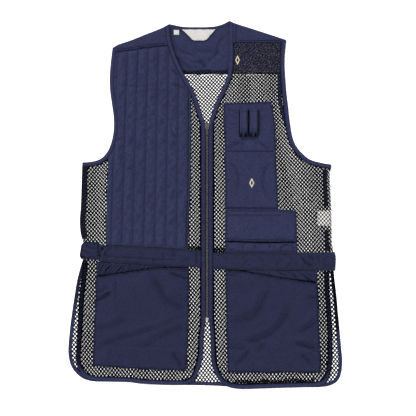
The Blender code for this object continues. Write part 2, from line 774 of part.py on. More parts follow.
def gathered_patch(name, loop, colour, slant):
    """Cloth drawn up into slanting ridges between a belt and a pocket's mouth."""

    def top(point):
        _, distance = inside(point, loop)
        phase = (point.x + slant * point.y) / GATHER_PITCH + 0.35 * wave(point)
        ridge = 0.5 + 0.5 * math.cos(2 * math.pi * phase)
        return PATCH_TOP + GATHER_RISE * ridge * eased(distance / GATHER_SLOPE)

    slab(name, loop, PATCH_BASE, top, colour, grid_points(loop, GATHER_CELL))


def build_left_patches():
    """The left front's belt, side tab, gathered panel and pocket."""
    belt_top = PATCH_BASE + BELT_WALL
    slab("belt_tab_left", corners(TAB_LEFT), PATCH_BASE, PATCH_TOP, NAVY)
    zip_side = FRONT_EDGE_LEFT[-1][0] - BINDING - 2 * GAP
    loop = outline(
        edge(PAD_HEM, -GAP / 2)[::-1],
        upright_run(BELT_LEFT_START, -60, -140),
        edge(BELT_LEFT_LOW, GAP / 2),
        upright_run(zip_side, -60, -160)[::-1],
    )
    slab("belt_left", loop, PATCH_BASE, belt_top, NAVY)
    mouth = smooth(POCKET_MOUTH_LEFT)
    loop = outline(
        edge(BELT_LEFT_LOW, -GAP / 2)[::-1],
        edge(POCKET_LEFT_OUTER),
        offset(mouth, GAP / 2),
        upright_run(GATHER_LEFT_END, -110, -160)[::-1],
    )
    gathered_patch("gather_left", loop, DEEP_NAVY, -GATHER_SLANT)
    loop = outline(
        offset(mouth, -GAP / 2)[::-1],
        edge(POCKET_LEFT_OUTER),
        edge(POCKET_LEFT_LOW),
        edge(POCKET_LEFT_INNER)[::-1],
    )
    pocket("pocket_left", loop, CREASES_LEFT)


def build_right_patches():
    """The right front's chest panel, chest pocket with its flap, belt, gathered panel and pocket."""
    slab("chest_panel", corners(CHEST_PANEL), PATCH_BASE, PATCH_TOP, NAVY)
    slab("chest_pocket", corners(CHEST_POCKET), PATCH_BASE, PATCH_TOP, NAVY)
    loop = corners(CHEST_FLAP)

    def flap_top(point):
        _, distance = inside(point, loop)
        full = FLAP_FULLNESS * (0.7 + 0.3 * wave(point)) * eased(distance / FLAP_SLOPE)
        return OVER_BASE + CLOTH_WALL + full

    slab("chest_flap", loop, OVER_BASE, flap_top, NAVY, grid_points(loop, POCKET_CELL))
    zip_side = FRONT_EDGE_RIGHT[0][0] + BINDING + 2 * GAP
    loop = outline(
        edge(BELT_RIGHT_HIGH)[::-1],
        upright_run(zip_side, -80, -170),
        edge(BELT_RIGHT_LOW, GAP / 2),
        edge(BELT_RIGHT_END),
    )
    slab("belt_right", loop, PATCH_BASE, PATCH_BASE + BELT_WALL, NAVY)
    mouth = smooth(POCKET_MOUTH_RIGHT)
    loop = outline(
        edge(BELT_RIGHT_LOW, -GAP / 2)[::-1],
        upright_run(GATHER_RIGHT_START, -120, -170),
        offset(mouth, GAP / 2),
        edge(POCKET_RIGHT_OUTER)[::-1],
    )
    gathered_patch("gather_right", loop, DEEP_NAVY, GATHER_SLANT)
    loop = outline(
        offset(mouth, -GAP / 2)[::-1],
        edge(POCKET_RIGHT_INNER),
        edge(POCKET_RIGHT_LOW),
        edge(POCKET_RIGHT_OUTER)[::-1],
    )
    pocket("pocket_right", loop, CREASES_RIGHT)


def build_loop(name, left, right, sides=9):
    """One cartridge loop: an arch of cloth with an open upper mouth and a flattened lower end."""
    middle = (left + right) / 2
    half = (right - left - GAP) / 2
    points = []
    for y, outer, inner in LOOP_STATIONS:
        for width, height in ((half, outer), (half - LOOP_WALL, inner)):
            for i in range(sides):
                turn = math.pi * i / (sides - 1)
                points.append((middle - width * math.cos(turn), y, OVER_BASE + height * math.sin(turn)))
    ring = 2 * sides
    faces = []
    for k in range(len(LOOP_STATIONS) - 1):
        low, high = k * ring, (k + 1) * ring
        for i in range(sides - 1):
            faces.append([low + i, low + i + 1, high + i + 1, high + i])
            faces.append([low + sides + i, low + sides + i + 1, high + sides + i + 1, high + sides + i])
        for foot in (0, sides - 1):
            faces.append([low + foot, low + sides + foot, high + sides + foot, high + foot])
    for start in (0, (len(LOOP_STATIONS) - 1) * ring):
        for i in range(sides - 1):
            faces.append([start + i, start + i + 1, start + sides + i + 1, start + sides + i])
    add_body(name, points, faces, NAVY)


def build_labels():
    """Blank labels, and two plain sewn diamonds."""
    slab("neck_label", corners(NECK_LABEL), FRONT_BASE, FRONT_BASE + LABEL_WALL, OFF_WHITE)
    slab("size_tag", corners(SIZE_TAG), FRONT_BASE, FRONT_BASE + LABEL_WALL, OFF_WHITE)
    slab("care_label", corners(CARE_LABEL), FRONT_BASE, FRONT_BASE + LABEL_WALL, OFF_WHITE)
    for name, (x, y, half_width, half_height), base in (
        ("mesh_mark", MESH_MARK, PATCH_BASE),
        ("panel_mark", PANEL_MARK, OVER_BASE),
    ):
        diamond = ((x + half_width, y), (x, y + half_height), (x - half_width, y), (x, y - half_height))
        slab(name, corners(diamond), base, base + LABEL_WALL, CREAM)


def metal_finish(obj):
    shader = obj.data.materials[0].node_tree.nodes["Principled BSDF"]
    shader.inputs["Roughness"].default_value = 0.35
    shader.inputs["Metallic"].default_value = 1.0
    return obj


def join(obj, other, operation):
    """Adds or cuts another shape, which stays in the scene as a hidden guide."""
    other.hide_render = True
    other.display_type = "WIRE"
    modifier = obj.modifiers.new("shape", "BOOLEAN")
    modifier.operation = operation
    modifier.object = other


def bail_shape():
    """The arch over the slider that the pull tab hangs on. Its feet are sunk in the slider's plate."""
    low, high = BAIL_Y
    foot = (PLATE_BASE + PLATE_TOP) / 2
    bevel = BAIL_TOP - BAIL_BEVEL
    roof = BAIL_TOP - BAIL_BAR
    profile = (
        (low, foot), (low, bevel), (low + BAIL_BEVEL, BAIL_TOP), (high - BAIL_BEVEL, BAIL_TOP),
        (high, bevel), (high, foot), (high - BAIL_BAR, foot), (high - BAIL_BAR, roof),
        (low + BAIL_BAR, roof), (low + BAIL_BAR, foot),
    )
    count = len(profile)
    points = [(ZIP_X + side * BAIL_WIDTH / 2, y, z) for side in (-1, 1) for y, z in profile]
    faces = [list(range(count)), list(range(2 * count - 1, count - 1, -1))]
    faces += [[k, (k + 1) % count, count + (k + 1) % count, count + k] for k in range(count)]
    return add_body("bail_shape", points, faces, NICKEL)


def build_zip():
    """The chain between the bands, the bottom box, and the slider with its bail."""
    left, right = ZIP_X - CHAIN_WIDTH / 2, ZIP_X + CHAIN_WIDTH / 2
    box_top = CHAIN_Y[0] - GAP
    metal_finish(slab("zip_chain", rectangle(left, right, *CHAIN_Y), FRONT_BASE, CHAIN_TOP, NICKEL))
    loop = rectangle(left, right, box_top - BOX_LENGTH, box_top)
    metal_finish(slab("zip_box", loop, FRONT_BASE, BOX_TOP, NICKEL))
    slider = metal_finish(slab("zip_slider", mirrored(SLIDER_PLATE, ZIP_X), PLATE_BASE, PLATE_TOP, NICKEL))
    join(slider, bail_shape(), "UNION")


def build_pull():
    """The pull tab hangs on the bail and leans on the chain. Its object's origin is on its hinge axis."""
    half_wall = PULL_WALL / 2
    pull = metal_finish(slab("zip_pull", mirrored(PULL_TAB, 0), -half_wall, half_wall, NICKEL))
    width, length = PULL_WINDOW
    window = rectangle(-width / 2, width / 2, -half_wall - length, -half_wall)
    cutter = slab("pull_window", window, -PULL_WALL, PULL_WALL, NICKEL)
    join(pull, cutter, "DIFFERENCE")
    drop = PULL_AXIS_Z - half_wall - GAP - CHAIN_TOP
    lean = math.asin(drop / -PULL_TAB[0][0])
    for obj in (pull, cutter):
        obj.location = Vector((ZIP_X, PULL_AXIS_Y, PULL_AXIS_Z)) * MM
        obj.rotation_euler = (lean, 0, 0)


clear_scene()
build_back()
build_front_panels()
build_front_trims()
build_pad()
build_left_patches()
build_right_patches()
build_loop("shell_loop_left", LOOP_EDGES[0], LOOP_EDGES[1])
build_loop("shell_loop_right", LOOP_EDGES[1], LOOP_EDGES[2])
build_labels()
build_zip()
build_pull()
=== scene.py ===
"""A shooting vest laid flat with its front up: real net, quilted pad, creased pockets, bound edges and a zip.

Lengths are in millimetres until a mesh is made. The edges repeat the ones that the solids were built on.
"""

import math

import bmesh
import bpy
import numpy as np
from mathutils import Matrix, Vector
from mathutils.bvhtree import BVHTree
from mathutils.geometry import delaunay_2d_cdt, intersect_line_line_2d


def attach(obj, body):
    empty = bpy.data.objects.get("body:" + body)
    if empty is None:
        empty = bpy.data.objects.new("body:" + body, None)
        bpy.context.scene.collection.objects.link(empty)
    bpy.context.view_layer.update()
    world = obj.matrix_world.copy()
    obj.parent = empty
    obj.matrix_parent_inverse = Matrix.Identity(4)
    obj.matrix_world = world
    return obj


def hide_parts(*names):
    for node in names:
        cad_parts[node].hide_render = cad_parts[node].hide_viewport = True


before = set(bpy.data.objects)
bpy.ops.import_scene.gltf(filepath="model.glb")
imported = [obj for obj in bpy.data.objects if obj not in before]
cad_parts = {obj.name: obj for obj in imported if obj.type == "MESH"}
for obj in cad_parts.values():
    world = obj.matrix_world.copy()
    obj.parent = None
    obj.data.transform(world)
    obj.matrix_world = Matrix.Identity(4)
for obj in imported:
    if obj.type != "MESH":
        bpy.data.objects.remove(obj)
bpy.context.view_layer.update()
scene = bpy.context.scene

MM = 0.001
# Space between two pieces' edges, how far cloth runs on under a binding, and steps along an edge.
GAP = 0.3
LAP = 0.5
STEP = 5.0
FINE_STEP = 1.5

# Levels of the cloth, as in the solids.
BACK_BASE = 0.02
BACK_TOP = 1.2
FRONT_BASE = 1.5
PATCH_BASE = 3.0
PATCH_TOP = 4.5
OVER_BASE = 4.8
YOKE_WALL = 2.2
CLOTH_WALL = 1.5
BELT_WALL = 2.4
LABEL_WALL = 0.6
SEAM_WALL = 1.0

BINDING = 9.5
BACK_BINDING = 8.0
NECK_BAND = 7.0
SIDE_STRIP = 9.5
YOKE_TAPE_X = (-204, 164)
YOKE_TAPE_WIDTH = 3.0
YOKE_TAPE_WALL = 0.28
BINDING_TOP = 3.0
# How far the net runs in under a binding, and under the seam strips at the sides.
TUCK = 4.0
SIDE_TUCK = 0.8
# A sewn line's depth in the cloth and half its width; how far a crease lowers the cloth, and how much painted shade
# it gets.
SEAM_DEPTH = 0.45
SEAM_HALF = 1.1
CREASE_RELIEF = 1.8
CREASE_SHADE = 0.42

ZIP_X = 4.0
CHAIN_Y = (-247.5, 180.0)
CHAIN_TOP = 3.3
ZIP_TAPE_WIDTH = 9.2
ZIP_TAPE_WALL = 0.9
# How far the zip's tape runs on below the chain.
ZIP_TAPE_END = 6.8

# The quilted pad: levels where its lines' start and pitch are known, then its channels' number and height.
QUILT_Y = (316.0, -60.0)
QUILT_CHANNELS = 8
QUILT_START = (-194.0, -206.5)
QUILT_PITCH = (22.7, 24.0)
QUILT_LOW = 1.7
QUILT_CROWN = 3.2
QUILT_SLOPE = 8.0
QUILT_LEVELS = np.arange(345, -96, -4.2)
# Where the shape needs points across one channel, in shares of its width.
QUILT_SHARES = (0, 0.05, 0.13, 0.25, 0.38, 0.5, 0.62, 0.75, 0.87, 0.95)
# The pad's cloth puffs up by a simulation. It is cut longer than the way across the wadding, so it puckers.
SETTLE_FRAMES = 20
SETTLE_PRESSURE = 60.0
SETTLE_SLACK = -0.01
SETTLE_CAP = 1.2
# How much painted shade the pad's cloth gets for each millimetre that the simulation lowers it, and how much painted
# highlight for each that it raises it.
SETTLE_SHADE = 0.16

LOOP_EDGES = (73.8, 95.4, 117.2)
LOOP_WALL = 1.4
LOOP_ROWS, LOOP_SIDES = 34, 25
LOOP_HEM = 204.5
# A loop's cloth before it is folded.
# Columns y, outer height, inner height.
LOOP_STATIONS = (
    (208.8, 15.5, 14.1), (198.0, 16.0, 14.6), (182.0, 15.8, 14.4), (170.0, 14.6, 13.2), (162.0, 11.0, 9.4),
    (155.0, 6.0, 3.6), (149.6, 2.4, 0.6),
)

# Free edges: columns x and y. Each runs so that the vest is on the left of someone who walks along it.
SHOULDER_LEFT = ((-79, 398), (-95, 389.5), (-129, 376), (-162.5, 362.5), (-193, 352), (-204, 345.5))
ARMHOLE_LEFT = (
    (-204, 345.5), (-207.5, 316.5), (-210, 285), (-209.5, 253), (-206, 226), (-201.5, 193), (-201, 171), (-203, 153),
    (-207.5, 134), (-214.5, 118.5), (-227, 103.5), (-245, 96), (-270.5, 93.5),
)
SIDE_LEFT_HIGH = (
    (-270.5, 93.5), (-271.5, 61), (-273.5, 0), (-275.8, -35), (-274, -62), (-269.5, -82), (-268.5, -118),
    (-270.5, -124),
)
SIDE_LEFT_LOW = (
    (-270.5, -124), (-277, -146), (-282.6, -169.6), (-288, -202.6), (-292.7, -233.4), (-297.5, -271), (-301.3, -314),
    (-300.8, -331), (-297, -349), (-290.3, -362.3), (-279, -375), (-263, -384.5), (-243, -388.6),
)
BACK_HEM = (
    (-243, -388.6), (-168, -390), (-117, -394), (-55, -396), (0, -397), (42, -399), (85, -403.5), (122.7, -403.9),
    (168, -402.4), (213, -401.1), (249, -401.2),
)
SIDE_RIGHT_LOW = (
    (249, -401.2), (270, -398.4), (286, -391.5), (295.5, -380), (300.3, -362.3), (301.3, -340), (299.3, -316),
    (296, -280), (291.6, -233.4), (289, -202.6), (284.8, -167), (282.5, -146),
)
SIDE_RIGHT_HIGH = ((282.5, -146), (282, -104), (279, -70.6), (278, -15.6), (276.9, 18.5), (275, 60), (277.5, 89))
ARMHOLE_RIGHT = (
    (277.5, 89), (257.7, 92.2), (230.5, 100), (215, 112), (201, 128), (191.7, 149.4), (186, 182.4), (182.3, 215.4),
    (178.8, 244), (176.6, 272.6), (174.8, 303.4), (175, 327.6), (178.5, 362.8),
)
BACK_ARMHOLE_RIGHT = (
    (277.5, 89), (257.7, 92.2), (230.5, 100), (215, 112), (201, 128), (190.5, 149.4), (182, 178), (173, 206),
    (168, 238), (167, 272), (168, 303), (171.5, 330), (178.5, 362.8),
)
SHOULDER_RIGHT = ((178.5, 362.8), (145.5, 373.8), (100.7, 388.3), (64.8, 399.8), (52.9, 405.1))
BACK_NECK = ((52.9, 405.1), (44.6, 400.4), (33.3, 395.8), (15.3, 392), (-27.6, 391.2), (-50.3, 392.2), (-79, 398))
FRONT_SIDE_LEFT = (
    (-269.2, -121), (-271, -150), (-277, -198), (-280, -253), (-282.6, -297), (-284.5, -336), (-282, -354),
    (-274.5, -370), (-262, -381.5), (-243, -387.4),
)
FRONT_HEM_LEFT = ((-243, -387.4), (-207, -388.7), (-168, -389.6), (-140, -393.5), (-84, -396), (-50, -396.2))
FRONT_EDGE_LEFT = ((-50, -396.2), (-37, -393.5), (-23.5, -385), (-12, -360), (-5, -330), (-3.2, -290), (0.5, -257))
NECKLINE_LEFT = (
    (0.5, 180), (-7.6, 200), (-14, 222), (-23, 247), (-44, 283.6), (-54, 303), (-67, 333), (-76, 364), (-79, 398),
)
NECKLINE_RIGHT = (
    (52.9, 405.1), (52.4, 363), (52.6, 319), (48.2, 284), (35, 251.5), (23, 226.4), (14, 200), (7.5, 180),
)
FRONT_EDGE_RIGHT = (
    (7.5, -255), (10.7, -280), (12, -322), (13.5, -346), (20, -368), (29.5, -385), (42, -396), (56, -402.2),
)
FRONT_HEM_RIGHT = ((56, -402.2), (72, -404.4), (90, -405), (122.7, -403.9), (168, -402.4), (213, -401.1), (246, -400))
FRONT_SIDE_RIGHT = (
    (246, -400), (262, -394.5), (272.5, -379), (278.3, -352), (280, -308), (276.5, -231), (273, -187), (272, -146),
)

# Seams inside the outline: columns x and y, from left to right or from the neck down.
BACK_YOKE_SEAM = ((-240, 287), (-80, 287), (200, 288))
YOKE_SEAM_LEFT = ((-215, 334.5), (-194, 337), (-162.5, 341.2), (-117.6, 347.6), (-60, 353.5))
YOKE_SEAM_RIGHT = ((40, 356.4), (110, 356.8), (200, 357.2))
PAD_LEFT = ((-213.4, 100), (-216.4, 30.6), (-217.5, -15.6), (-219.5, -50), (-217, -100))
PAD_RIGHT = ((-31, 260), (-31.3, 150), (-32.2, 52.6), (-35.5, -37.6), (-37.3, -110))
PAD_HEM = ((-240, -87), (-184.9, -90.4), (-117.6, -93.9), (0, -101.4))
BELT_LEFT_LOW = ((-245, -124.8), (-185, -128), (-117.6, -132.4), (-34.4, -137.2), (0, -137.5))
POCKET_MOUTH_LEFT = ((-250, -158.5), (-233, -156.4), (-185, -149.8), (-117.6, -140.1), (-86, -138.2), (-20, -138.8))
BELT_RIGHT_HIGH = ((0, -105.4), (150, -105.2), (295, -103.5))
BELT_RIGHT_LOW = ((0, -141.2), (120, -143.4), (295, -145.4))
POCKET_MOUTH_RIGHT = (
    (30, -142.5), (60, -144), (87.5, -147.4), (122.7, -152.4), (179.2, -162.6), (213, -167.6), (260, -175),
)
POCKET_LEFT_OUTER = ((-239.5, -140), (-240.6, -167.4), (-242.1, -211.4), (-245.9, -301.6), (-248.4, -370))
POCKET_LEFT_LOW = ((-260, -353.2), (-162.5, -360.1), (-95.2, -363.2), (-30, -364.8))
POCKET_LEFT_INNER = ((-35.3, -125), (-35.3, -189.4), (-36.2, -256.7), (-38, -301.6), (-41, -375))
POCKET_RIGHT_INNER = ((43.4, -130), (45.7, -233.4), (47.2, -301.6), (48.8, -380))
POCKET_RIGHT_LOW = ((40, -369.2), (262, -369.4))
POCKET_RIGHT_OUTER = ((246, -160), (248.9, -211.4), (251.1, -268.6), (253.3, -323.6), (254.7, -380))
GATHER_LEFT_END = -62.0
GATHER_RIGHT_START = 92.0
BELT_LEFT_START = -234.1
BELT_RIGHT_END = ((283.4, -160), (287, -119), (282.4, -92))
# Sewing on the belts, with its distance from their edges, and on the chest panel and its flap.
BELT_SEAM = 2.6
BELT_LEFT_LINE = ((-213, -113), (-168, -116), (-107, -120), (-68, -121))
BELT_LEFT_BAR = ((-18, -100), (-18, -134))
BELT_RIGHT_BOX = ((280, -117), (262, -117), (262, -134), (280, -134))
PANEL_LINE = ((43, 117.5), (154, 117.5))
PANEL_BAR = ((79, 145.5), (116, 146))
PANEL_TACKS = (((45, 42.5), (56, 42.5)), ((145, 43.8), (155, 43.8)))
FLAP_LINE = ((40, -22.5), (164, -22.5))
# How far inside a patch's edge its sewing runs.
PATCH_SEAM = 2.2
POCKET_SEAM = 2.4
FLAP_SEAM = 3.3
YOKE_SEW = 4
NECK_SEW = 5.5
HEM_SEW = 5.5
# Where the chest flap's edge throws its shadow on the pocket.
FLAP_LIP = ((38, -79.8), (80, -81.4), (120, -82.4), (208, -82.0))
LIP_POINTS = [(x, y) for x in range(48, 200, 4) for y in (-79.5, -81.5, -83.5, -86)]

# Whole outlines of small patches: columns x and y, round the patch with its inside on the left.
TAB_LEFT = ((-234.4, -82), (-266, -80.4), (-272.6, -88), (-276.6, -112), (-273, -118.6), (-234.4, -121.6))
CHEST_PANEL = (
    (43.9, -8), (160.9, -9.4), (160.5, 10), (157, 76.8), (155.7, 136.2), (153.2, 182.4), (149, 213), (145.5, 226.8),
    (83.1, 225.7), (39.6, 223.3), (42, 150), (43.2, 50),
)
CHEST_POCKET = ((43.5, -104.7), (202.4, -104.7), (201.6, -60), (200.2, -13.6), (164, -9.8), (44.2, -8.4))
CHEST_FLAP = ((42.6, -78.8), (120, -80.6), (201, -80.7), (201.2, -40), (199.8, -12.6), (163, -10), (44.2, -8.6))
NECK_LABEL = ((-52.5, 386.2), (-44, 379), (-29, 363.6), (-23, 361.2), (-4, 361.2), (3, 363.4), (23, 386.2))
BACK_NET_LAP = ((-50, 287.2), (53, 287.6), (53, 297.4), (-50, 296.6))
SIZE_TAG = ((-69.2, 373.8), (-57.4, 373.8), (-57.4, 385), (-69.2, 385))
CARE_LABEL = ((246.5, -46.4), (275, -46.4), (275, -13), (246.5, -13))
LABEL_LIFT = 1.1
LIFT_MARGIN = 2.0
LIFT_SLOPE = 7.0

# Plain diamond marks: middle x and y, half width, half height.
MESH_MARK = (71.0, 318.4, 5.2, 10.5)
PANEL_MARK = (102.3, 48.2, 5.6, 11.0)

SEAM_LEFT_Y = (84.0, -76.0)
SEAM_RIGHT_Y = ((77.0, -3.5), (-56.0, -101.5))
SEAM_LEFT_WIDTH = 12.5
SEAM_RIGHT_INSET = 7.5

POCKET_FULLNESS = 3.2
POCKET_SLOPE = 42.0
FLAP_FULLNESS = 1.2
FLAP_SLOPE = 18.0
FLAP_LIFT = 1.6

# Creases: columns depth, half width, points of the line. A softer ridge stands on the left of each line. Each crease
# also gets painted shade in its trough and a painted highlight beside it; below zero it is a raised line with a
# painted highlight on it.
CREASES_POCKET_LEFT = (
    (2.6, 3.2, ((-78, -148), (-58, -155), (-37, -162))), (1.8, 2.4, ((-67, -146), (-38, -145))),
    (1.6, 2.2, ((-54, -153), (-37, -154))), (1.5, 11, ((-117, -152), (-97, -179), (-82, -206), (-38, -224))),
    (0.9, 8, ((-144, -313), (-107, -291), (-82, -276), (-42, -262))),
    (1.1, 5, ((-240, -314), (-205, -298), (-169, -286), (-103, -268), (-38, -240))),
    (0.9, 6, ((-243, -270), (-205, -263), (-175, -250))), (2.6, 3.4, ((-241, -210), (-227, -204), (-208, -193))),
    (1.0, 4, ((-232, -192), (-214, -179))), (0.5, 3, ((-196, -161), (-196, -211))),
    (-0.5, 4, ((-192, -316), (-43, -320))), (1.2, 5, ((-70, -323), (-58, -342), (-51, -357))),
    (-0.3, 2.5, ((-230, -161.4), (-185, -154.8), (-117.6, -145.2), (-90, -143))),
)
CREASES_POCKET_RIGHT = (
    (1.4, 8, ((47, -257), (69, -252), (98, -247), (113, -232), (125, -210), (138, -179))),
    (1.6, 6.5, ((84, -302), (112, -295), (134, -286), (152, -274), (168, -255), (182, -232))),
    (0.8, 4, ((112, -318), (134, -304))), (1.3, 4.5, ((64, -352), (76, -341), (88, -330), (96, -318))),
    (2.2, 5, ((195, -303), (216, -307), (245, -314))), (1.3, 6, ((204, -279), (226, -267), (245, -251))),
    (0.8, 3, ((47, -152), (72, -152))), (0.7, 3, ((50, -232), (64, -235))), (1.3, 4, ((226, -203), (246, -202))),
    (1.0, 6, ((50, -308), (94, -315))), (1.1, 5, ((213, -326), (233, -346))),
    (-0.3, 2.5, ((90, -152.4), (122.7, -157.4), (179.2, -167.6), (213, -172.6), (244, -177.4))),
)
CREASES_PAD = (
    (0.3, 2.5, ((-202, 266), (-160, 262), (-96, 266))), (0.3, 2.5, ((-150, 246), (-110, 254), (-66, 246))),
    (0.9, 3, ((-74, 300), (-57, 284))), (1.0, 3, ((-72, 267), (-45, 256))),
    (1.1, 3, ((-76, 180), (-68, 154), (-57, 148))), (0.8, 3, ((-92, 143), (-85, 139))),
    (0.8, 3, ((-56, 33), (-48, 27))), (0.8, 3, ((-202, 280), (-193, 284))), (0.8, 3, ((-197, 143), (-184, 146))),
    (-0.5, 2.0, ((-34, 250), (-34.3, 150), (-35.2, 52.6), (-38.5, -37.6), (-40, -95))),
)
CREASES_CHEST = (
    (0.35, 2.0, ((78, 142), (66, 128))), (0.35, 2.0, ((86, 141), (80, 127))), (0.35, 2.0, ((108, 141), (116, 128))),
    (0.35, 2.0, ((118, 144), (132, 131))), (0.3, 2.0, ((70, 190), (54, 196))), (0.3, 2.0, ((70, 176), (52, 176))),
    (0.3, 2.0, ((122, 190), (142, 200))), (-0.3, 2.2, ((46, 114), (100, 114), (152, 114))),
    (0.6, 3, ((49, 214), (71, 203))), (0.7, 3.5, ((41, 125), (85, 141))), (0.6, 3, ((118, 207), (134, 214))),
    (0.7, 3.5, ((112, 143), (142, 123))), (0.5, 5, ((60, 96), (75, 60), (72, 30))),
    (0.5, 5, ((138, 90), (128, 55), (136, 20))),
)
CREASES_TAB = (
    (1.3, 2.4, ((-264, -86), (-250, -94), (-237, -96))), (1.2, 2.2, ((-269, -99), (-254, -106), (-237, -108))),
    (0.9, 2.0, ((-246, -83), (-240, -92))), (1.2, 2.2, ((-262, -117), (-248, -112), (-238, -115))),
)
CREASES_BELT_LEFT = (
    (2.6, 2.8, ((-215, -89), (-228, -100), (-232, -120))), (1.6, 2.5, ((-228, -92), (-219, -104), (-214, -120))),
    (1.3, 2.5, ((-221, -88), (-208, -97))), (1.1, 2.5, ((-231, -108), (-222, -119))),
    (0.4, 3.0, ((-199, -92), (-189, -103))), (0.3, 3.0, ((-176, -122), (-163, -109))),
    (0.7, 2.0, ((-91, -103), (-91, -122))), (0.3, 3.5, ((-146, -97), (-133, -113))),
    (0.3, 3.0, ((-118, -124), (-104, -112))), (0.4, 3.0, ((-74, -104), (-62, -114))),
    (0.4, 3.0, ((-52, -127), (-40, -116))), (0.6, 1.3, BELT_LEFT_LINE),
    (0.9, 1.3, BELT_LEFT_BAR),
)
CREASES_BELT_RIGHT = (
    (2.6, 3, ((213, -114), (223, -126), (236, -134))), (2.2, 2.5, ((228, -112), (240, -121))),
    (0.6, 3.0, ((196, -134), (206, -124))), (0.5, 3.0, ((178, -136), (190, -126))),
    (0.7, 2.5, ((246, -110), (252, -124))), (0.3, 3.0, ((38, -110), (52, -121))),
    (0.3, 3.5, ((80, -132), (97, -119))), (0.3, 3.0, ((118, -112), (130, -124))),
    (0.3, 3.5, ((152, -131), (167, -119))), (0.4, 3.0, ((186, -112), (197, -125))),
    (0.5, 2.5, ((262, -140), (271, -128))),
)
CREASES_BACK_YOKE = (
    (0.9, 5, ((-62, 345), (-40, 336), (-19, 325), (6, 302))), (0.8, 4, ((-66, 330), (-44, 312), (-25, 299))),
    (0.6, 4, ((-50, 322), (-20, 316), (8, 322))), (0.7, 5, ((38, 340), (12, 318), (-6, 300))),
    (0.6, 4, ((44, 372), (30, 352), (26, 330))), (0.6, 5, ((-30, 345), (0, 338), (24, 344))),
)
CREASES_CHEST_POCKET = (
    (1.8, 2.2, ((45, -84), (50, -93), (64, -102))), (0.9, 2.2, ((87, -82), (83, -97))),
    (0.8, 2.2, ((109, -84), (114, -99))), (1.2, 2.2, ((145, -85), (142, -98))),
    (1.6, 2.2, ((163, -101), (171, -90), (186, -86))), (1.2, 2.2, ((192, -86), (196, -102))),
)
CREASES_FLAP = (
    (-0.25, 2.0, ((74, -42.5), (176, -42.5))), (-0.2, 2.0, ((54, -30), (53, -72))),
    (-0.2, 2.0, ((178, -44), (180, -72))), (0.3, 3.0, ((60, -70), (84, -76))),
    (0.3, 3.0, ((150, -74), (188, -70))), (-0.9, 1.3, ((45, -77.9), (120, -79.7), (199, -79.8))),
)
FOLDS_LEFT = ((0.8, 2.2, ((-226, -150), (-208, -134))), (0.8, 2.2, ((-196, -146), (-182, -134))))
FOLDS_RIGHT = (
    (1.8, 2.6, ((204, -147), (222, -158), (243, -171))), (1.3, 2.2, ((216, -147), (240, -159))),
    (1.0, 2.2, ((184, -146), (206, -160))), (0.8, 2.0, ((160, -146), (178, -156))),
)

# A folded tape's section: columns share of its width from the free edge, level as a share of its height, and how dark
# it is there. The darkness is painted shade along its edges and in its sewn groove, and below zero a painted
# highlight on its crown. Past a share of 1 a low lip lies on the net as painted shadow.
TAPE_SECTION = (
    (0.0, 0.35, 0.8), (0.02, 0.68, 0.5), (0.07, 0.92, 0.15), (0.16, 1.02, 0), (0.34, 1.12, -0.15),
    (0.52, 1.16, -0.25), (0.68, 1.12, -0.1), (0.79, 0.98, 0.2), (0.84, 0.84, 0.75), (0.89, 0.96, 0.2),
    (0.95, 0.94, 0.15), (0.99, 0.84, 0.7), (1.02, 0.78, 1), (1.15, 0.78, 1), (1.16, 0.6, 1),
)
# Beside the zip the tape's free edge gets less painted shade, and its lip of painted shadow over the net is wider.
BAND_SECTION = (
    (0.0, 0.35, 0.25), (0.02, 0.68, 0.15), (0.07, 0.92, 0.05), *TAPE_SECTION[3:-2], (1.27, 0.78, 1), (1.28, 0.6, 1)
)
# The seam strips' and the flat tapes' sections, with painted shade along their rolled edges.
STRIP_SECTION = (
    (0.0, 0.4, 0.9), (0.03, 0.85, 0.6), (0.1, 1.0, 0.2), (0.25, 1.05, 0), (0.4, 0.95, 0.1), (0.55, 1.05, 0),
    (0.7, 0.95, 0.1), (0.85, 1.0, 0), (0.97, 0.85, 0.4), (1.0, 0.4, 0.9),
)
FLAT_SECTION = (
    (0.0, 0.4, 0.9), (0.03, 0.85, 0.6), (0.12, 1.0, 0), (0.5, 1.0, 0), (0.88, 1.0, 0), (0.97, 0.85, 0.4),
    (1.0, 0.4, 0.9),
)
# How much darker a binding gets along its way: pairs of y and how dark, from the hem up.
BINDING_TONES = {
    "back_side_binding_right": ((-290, 0), (-268, 0.9), (-140, 0.95)),
    "back_side_binding_left": ((-230, 0), (-200, 0.5), (-124, 0.6)),
    "front_side_binding_left": ((-386, 0.1), (-372, 0.3), (-352, 1.1), (-124, 1.2)),
    "front_side_binding_right": ((-398, 0.1), (-386, 0.5), (-366, 1.0), (-150, 1.2)),
    "front_band_left": ((-250, 0.22), (60, 0.18), (180, 0.08)),
    "front_band_right": ((-250, 0.26), (60, 0.2), (180, 0.08)),
}
# Where the back yoke gets lighter behind the right front's net, and its shadows there: how dark, middle, size.
YOKE_LIT_X = 58
YOKE_SHADOWS = ((0.8, (66, 294), (16, 12)), (0.7, (164, 322), (13, 40)))
# A spot of painted shade under the left side tab's corner, which looks like a dark notch.
NOTCH_AT, NOTCH_SIZE = (-272, -116), (7, 4)
# Pairs of x and how wide the painted shadow along a pocket's mouth is there.
MOUTH_WIDTH_LEFT = ((-240, 2.0), (-80, 1.4))
MOUTH_WIDTH_RIGHT = ((90, 1.2), (190, 1.8), (225, 4.0), (250, 4.5))
# Small lighter spots of net that show through a dark tape: their pitch, and how strong they are on the side
# bindings and on the seam strips.
DOT_PITCH = 8.5
SIDE_DOTS = 0.5
STRIP_DOTS = 1.1
# Satin stitches' section across a plain diamond: share of its size, level.
THREAD_SECTION = ((1, 0), (0.98, 0.4), (0.86, 0.62), (0.66, 0.62), (0.54, 0.4), (0.52, 0))

